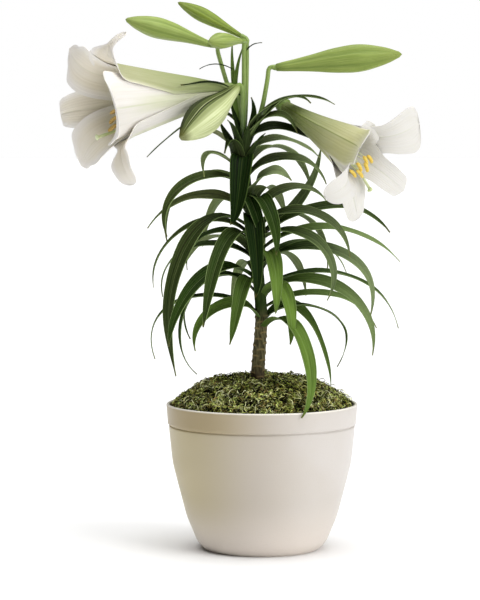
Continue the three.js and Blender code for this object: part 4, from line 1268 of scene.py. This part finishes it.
def make_leaves():
    groups = {"leaves_left": [], "leaves_front": [], "leaves_right": [], "leaves_behind": []}
    for index, (height, width, turn, *points) in enumerate(LEAVES):
        side = next(name for name, first in LEAF_GROUPS if index >= first)
        tint = BRIGHT_LEAVES.get(index, 0.06 * fraction(index * GOLDEN) + 0.04 * (height < 300))
        wave = 0.25 + 0.35 * fraction(index * 0.37)
        dull = ease(height, 270, 350) * (0.35 + 0.6 * fraction(index * GOLDEN + 0.2))
        dull *= 0 if side == "leaves_front" else 0.5 if side == "leaves_right" else 1
        # Leaves under the blooms and at the crown take the darker faces, as painted shade.
        faces = (CROWN_SHADE_UPPER, CROWN_SHADE_LOWER) if index in CROWN_LEAVES else (LEAF_UPPER, LEAF_LOWER)
        line = [stem_point(height), *points]
        values = (tint, dull, PALE_LEAVES.get(index, 0))
        groups[side].append(leaf(f"leaf_{index}", width, turn, line, values, wave, faces))
    for index in range(BACK_LEAVES):
        width = lerp(*BACK_WIDTHS, fraction(index * 0.27))
        values = (0.3 * fraction(index * GOLDEN), 0.4, 0.1)
        made = leaf(f"back_leaf_{index}", width, 0, back_leaf_points(index), values, 0.4)
        groups["leaves_behind"].append(made)
    for name, blades in groups.items():
        dressed(joined(name, blades))
    bracts = []
    for index, (width, turn, *points) in enumerate(BRACTS):
        # Two bracts in the crown take its painted shade.
        face = STALKLIKE_FACE if index < 2 else CROWN_SHADE_UPPER if index < 4 else BRACT_FACE
        bracts.append(leaf(f"bract_{index}", width, turn, points, (0.1, 0.05, 0), 0.1, (face, face)))
    dressed(joined("bracts", bracts))


def make_stalks():
    rods = []
    for name, (end_radius, *points) in STALKS.items():
        end = Vector(points[-1])
        ahead = Vector(BUDS[name][2] if name in BUDS else BLOOMS[name]["mouth"])
        heading = (ahead - end).normalized()
        line = Through([*points[:-1], end - heading * STALK_NECK, end + heading * STALK_SUNK])

        def radius_at(share, end_radius=end_radius):
            return end_radius * (1.15 - 0.15 * share) + STALK_FLARE * ease(share, 0.93, 1)

        rods.append(rod(f"{name}_stalk", line, radius_at, 40))
    dressed(joined("flower_stalks", rods), STALK)


# Buds

def make_bud(name, finish, furrow):
    radius, *points = BUDS[name]
    base, middle = Vector(points[0]), Vector(points[1])
    start = base + (middle - base).normalized() * GAP
    line = Through([start, *points[1:]])
    bud = ball(f"{name}_body", BUD_SEGMENTS, BUD_RINGS)
    shade_facings = []

    def place(co):
        angle, share = as_tube(co)
        side, top = square_to(line.along(share))
        turned = about(side, top, angle)
        # How far each point faces the side that the opening bud's finish paints in shade.
        shade_facings.append(0.5 + 0.5 * turned.dot(BUD_SHADED_SIDE))
        if at_end(share):
            return line.at(share)
        swell = ease(share, 0, 0.12) * (1 - 0.5 * ease(share, 0.85, 1))
        ridges = 1 + 0.05 * math.cos(6 * angle) * swell + 0.035 * math.cos(3 * angle) * swell
        seam = abs((angle * 3 / math.tau) % 1 - 0.5)
        ridges -= furrow * hill(seam, 0.05) * swell
        return line.at(share) + turned * (radius * smooth_value_along(BUD_GIRTH, share) * ridges)

    placed(bud, place)
    values = iter(shade_facings)
    painted(bud, "shade_facing", lambda co: next(values))
    dressed(bud, finish)
    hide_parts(name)


# Blooms

class Trumpet:
    """A bloom's own frame: its foot, its axis, and two directions square to the axis."""

    def __init__(self, bloom):
        base = Vector(bloom["base"])
        axis = Vector(bloom["mouth"]) - base
        self.length = axis.length
        self.axis = axis.normalized()
        self.east = UP.cross(self.axis).normalized()
        self.north = self.axis.cross(self.east)
        self.foot = base + self.axis * GAP

    def outward(self, angle):
        return about(self.east, self.north, angle)

    def place(self, sideways, up, forward):
        return self.foot + self.axis * forward + self.east * sideways + self.north * up


def free_width(widths, share, bluntness):
    """Width of a tepal's free part, smoothly through its widths a quarter apart."""
    spot = min(max(share * 4, 0), 3)
    index = min(int(spot), 2)
    f = spot - index
    a, b, c, d = (widths[min(max(index + step, 0), 3)] for step in (-1, 0, 1, 2))
    square = 2 * a - 5 * b + 4 * c - d
    cube = 3 * b - a - 3 * c + d
    width = b + ((c - a) * f + square * f**2 + cube * f**3) / 2
    past = max((share - CLOSING) / (1 - CLOSING), 0)
    return width * math.sqrt(max(1 - past**bluntness, 0))


class TepalWay:
    """The way of a tepal's midrib: up the tube, over the mouth and out to its curled tip."""

    STEPS = 480

    def __init__(self, bloom, trumpet, row, inner):
        self.angle, free, curl, swing, start, bluntness, *widths = row
        self.trumpet = trumpet
        total = trumpet.length + free
        bend_start = (trumpet.length + start) / total
        span = math.radians(INNER_SPAN if inner else OUTER_SPAN)
        radius = TEPAL_BASE_RADIUS - (WHORL_STEP if inner else 0)
        position = trumpet.foot + trumpet.outward(math.radians(self.angle)) * radius
        self.stations = []
        for step in range(self.STEPS + 1):
            share = step / self.STEPS
            distance = share * total
            opening = ease(share, bend_start, 1)
            slope = lerp(*bloom["slopes"], min(distance / trumpet.length, 1))
            lean = math.radians(lerp(slope, curl, opening))
            turned = math.radians(self.angle + swing * opening)
            outward, across = trumpet.outward(turned), trumpet.outward(turned + math.pi / 2)
            inward = trumpet.axis * math.sin(lean) - outward * math.cos(lean)
            radius = (position - trumpet.foot).dot(outward)
            opened = free_width(widths, max((distance - trumpet.length) / free, 0), bluntness)
            width = max(min(2 * radius * span, opened), LEAST_WIDTH)
            bend = lerp(1 / radius, OPEN_BEND, opening)
            self.stations.append((position.copy(), across, inward, width, bend, opening))
            position += trumpet.axis * (math.cos(lean) * total / self.STEPS)
            position += outward * (math.sin(lean) * total / self.STEPS)

    def place(self, column, share):
        position, across, inward, width, bend, opening = self.stations[round(share * self.STEPS)]
        turn = column * width * bend / 2
        ripple = math.sin(share * RUFFLES + self.angle) * RUFFLE * opening * column * column
        ends = ease(share, 0.1, 0.3) * (1 - ease(share, 0.9, 1))
        crease = CREASE_DEPTH * hill(column, CREASE_WIDTH) * ends
        rise = (1 - math.cos(turn)) / bend + ripple - crease
        return position + across * (math.sin(turn) / bend) + inward * rise


def make_petals(name, bloom, front, outer_back):
    trumpet = Trumpet(bloom)
    whorls = {True: [], False: []}
    for index, row in enumerate(bloom["tepals"]):
        inner = index % 2 == 0
        way = TepalWay(bloom, trumpet, row, inner)
        tepal = sheet(f"{name}_tepal_{index}", TEPAL_ACROSS, TEPAL_ALONG)

        def place(co, way=way):
            along = (co.y + 1) / 2
            return way.place(-co.x, 1 - (1 - along) ** 1.35)

        placed(tepal, place)
        painted(tepal, "tint", lambda co, index=index: fraction(index * GOLDEN))
        back = outer_back if index in bloom["green"] else INNER_BACK
        two_faced(tepal, front, back, TEPAL, 0)
        whorls[inner].append(tepal)
    inner = dressed(joined(f"{name}_inner_tepals", whorls[True]))
    dressed(joined(f"{name}_outer_tepals", whorls[False]))
    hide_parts(f"{name}_petals")
    receptacle = ball(f"{name}_receptacle", 32, 20)

    def swollen(co):
        angle, share = as_tube(co)
        reach = 0 if at_end(share) else smooth_value_along(RECEPTACLE_SHAPE, share)
        reach *= 1 + 0.05 * math.cos(6 * angle)
        return trumpet.foot + trumpet.axis * (RECEPTACLE * share) + trumpet.outward(angle) * reach

    placed(receptacle, swollen)
    dressed(receptacle, STALK)


def spindle(name, start, end, radius, segments, rings):
    """A plump rounded body between two places, with a groove down each side."""
    body = ball(name, segments, rings)
    along = (end - start).normalized()
    side, top = square_to(along)

    def place(co):
        angle, share = as_tube(co)
        girth = radius * max(1 - (2 * share - 1) ** 4, 0) ** 0.5
        girth *= 1 - 0.22 * hill(math.cos(angle), 0.3)
        bow = math.sin(share * math.pi) * radius * 0.5
        return start.lerp(end, share) + about(side, top, angle) * girth + top * bow

    return placed(body, place)


def make_stamens(name, bloom, finish):
    trumpet = Trumpet(bloom)
    root = RECEPTACLE + GAP
    knob_top = trumpet.place(0, 0, root + KNOB_LENGTH)
    threads = [spindle("knob", trumpet.place(0, 0, root), knob_top, KNOB_RADIUS, 16, 8)]
    anthers = []
    start = root + KNOB_LENGTH - 2
    sideways, up, forward = bloom["anthers"]
    row_sideways, row_up = bloom["anther_row"]
    way_sideways, way_up, way_forward = bloom["anther_way"]
    row = math.hypot(row_sideways, row_up)
    for index in range(STAMENS):
        angle = (index + 0.5) / STAMENS * math.tau
        a, b = math.cos(angle), math.sin(angle)
        reach = trumpet.length + forward + ANTHER_STAGGER * (fraction(index * GOLDEN) - 0.5)
        in_row = 2 * index / (STAMENS - 1) - 1
        beside = ANTHER_BESIDE if index % 2 else -ANTHER_BESIDE
        east = sideways + row_sideways * in_row + row_up / row * beside
        north = up + row_up * in_row - row_sideways / row * beside
        spread_east, spread_north = a * FILAMENT_SPREAD + east / 5, b * FILAMENT_SPREAD + north / 5
        centre = trumpet.place(east, north, reach)
        line = Through([
            trumpet.place(a * FILAMENT_RING, b * FILAMENT_RING, start),
            trumpet.place(spread_east, spread_north, trumpet.length * 0.55),
            centre,
        ])
        threads.append(rod("filament", line, lambda share: FILAMENT_RADIUS * (1 - 0.35 * share), 24, 8))
        way_east, way_north = way_sideways + a * ANTHER_SPREAD, way_up + b * ANTHER_SPREAD
        ahead = trumpet.place(east + way_east, north + way_north, reach + way_forward)
        lean = (ahead - centre).normalized() * (ANTHER_LENGTH / 2)
        anthers.append(spindle("anther", centre - lean, centre + lean, ANTHER_RADIUS, 18, 16))
    across, rise, ahead = bloom["stigma"]
    in_tube, at_mouth = bloom["style_drop"]
    line = Through([
        trumpet.place(0, 0, start),
        trumpet.place(across * 0.2, rise * in_tube, trumpet.length * 0.6),
        trumpet.place(across * 0.7, rise * at_mouth, trumpet.length),
        trumpet.place(across, rise, trumpet.length + ahead),
    ])
    style = rod("style", line, lambda share: STYLE_RADIUS * (1 + 0.25 * ease(share, 0.85, 1)), 40, 12)
    head = ball("stigma", 30, 16)
    tip, along = line.at(1), line.along(1)
    side, top = square_to(along)

    def lobed(co):
        angle = math.atan2(co.y, co.x)
        reach = STIGMA_RADIUS * (0.86 + 0.2 * math.cos(3 * angle)) * math.hypot(co.x, co.y)
        depth = co.z * STIGMA_RADIUS * 0.55 - STIGMA_RADIUS * 0.5
        return tip + about(side, top, angle) * reach + along * depth

    placed(head, lobed)
    threads_piece = dressed(joined(f"{name}_filaments", threads), FILAMENT)
    dressed(joined(f"{name}_anthers", anthers), finish)
    dressed(joined(f"{name}_pistil", [style, head]), STYLE)
    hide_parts(f"{name}_stamens")


# Camera, floor and light

def make_camera():
    spot = (VIEW_SIDEWAYS * MM, -VIEW_DISTANCE * MM, VIEW_HEIGHT * MM)
    bpy.ops.object.camera_add(location=spot, rotation=(math.radians(90 - VIEW_DOWN), 0, 0))
    camera = bpy.context.object
    camera.data.lens = LENS
    camera.data.clip_end = 50
    bpy.context.scene.camera = camera


def make_stage():
    none_picked()
    bpy.ops.mesh.primitive_plane_add(size=FLOOR_METRES, location=(0, 0, 0))
    floor = named("floor")
    finish = Finish("white_floor", 0.9)
    finish.coloured("#fdfdfd")
    floor.data.materials.append(finish.material)
    world = bpy.data.worlds.new("studio")
    bpy.context.scene.world = world
    world.use_nodes = True
    nodes, links = world.node_tree.nodes, world.node_tree.links
    glow = nodes["Background"]
    glow.inputs["Strength"].default_value = GLOW
    white = nodes.new("ShaderNodeBackground")
    white.inputs["Color"].default_value = glow.inputs["Color"].default_value = (1, 1, 1, 1)
    seen = nodes.new("ShaderNodeMixShader")
    links.new(nodes.new("ShaderNodeLightPath").outputs["Is Camera Ray"], seen.inputs[0])
    links.new(glow.outputs[0], seen.inputs[1])
    links.new(white.outputs[0], seen.inputs[2])
    links.new(seen.outputs[0], nodes["World Output"].inputs["Surface"])
    bpy.context.scene.view_settings.view_transform = "Standard"


def make_lights():
    """Broad, even lights, as from large diffusers."""
    for name, (spot, spread, strength) in LIGHTS.items():
        bpy.ops.object.light_add(type="SUN", location=spot)
        lamp = named(name)
        lamp.data.angle = math.radians(spread)
        lamp.data.energy = strength
        lamp.rotation_euler = (-Vector(spot)).to_track_quat("-Z", "Y").to_euler()


make_camera()
make_stage()
make_lights()
for node, finish in (("soil", SOIL), ("bulb", BULB)):
    solid = bpy.data.objects[node]
    solid.data.materials.clear()
    solid.data.materials.append(finish)
make_pot()
make_moss()
make_stem()
make_leaves()
make_stalks()
for bud_name, finish, furrow in (
    ("right_bud", BUD, 0.03),
    ("left_bud", YOUNG_BUD, 0.03),
    ("top_bud", TOP_BUD, 0.03),
    ("front_bud", YOUNG_BUD, 0.04),
    ("low_bud", OPENING_BUD, 0.09),
):
    make_bud(bud_name, finish, furrow)
for bloom_name, front, outer_back, pollen_finish in (
    ("left_bloom", LEFT_FRONT, LEFT_OUTER_BACK, LEFT_POLLEN),
    ("right_bloom", RIGHT_FRONT, RIGHT_OUTER_BACK, RIGHT_POLLEN),
):
    make_petals(bloom_name, BLOOMS[bloom_name], front, outer_back)
    make_stamens(bloom_name, BLOOMS[bloom_name], pollen_finish)
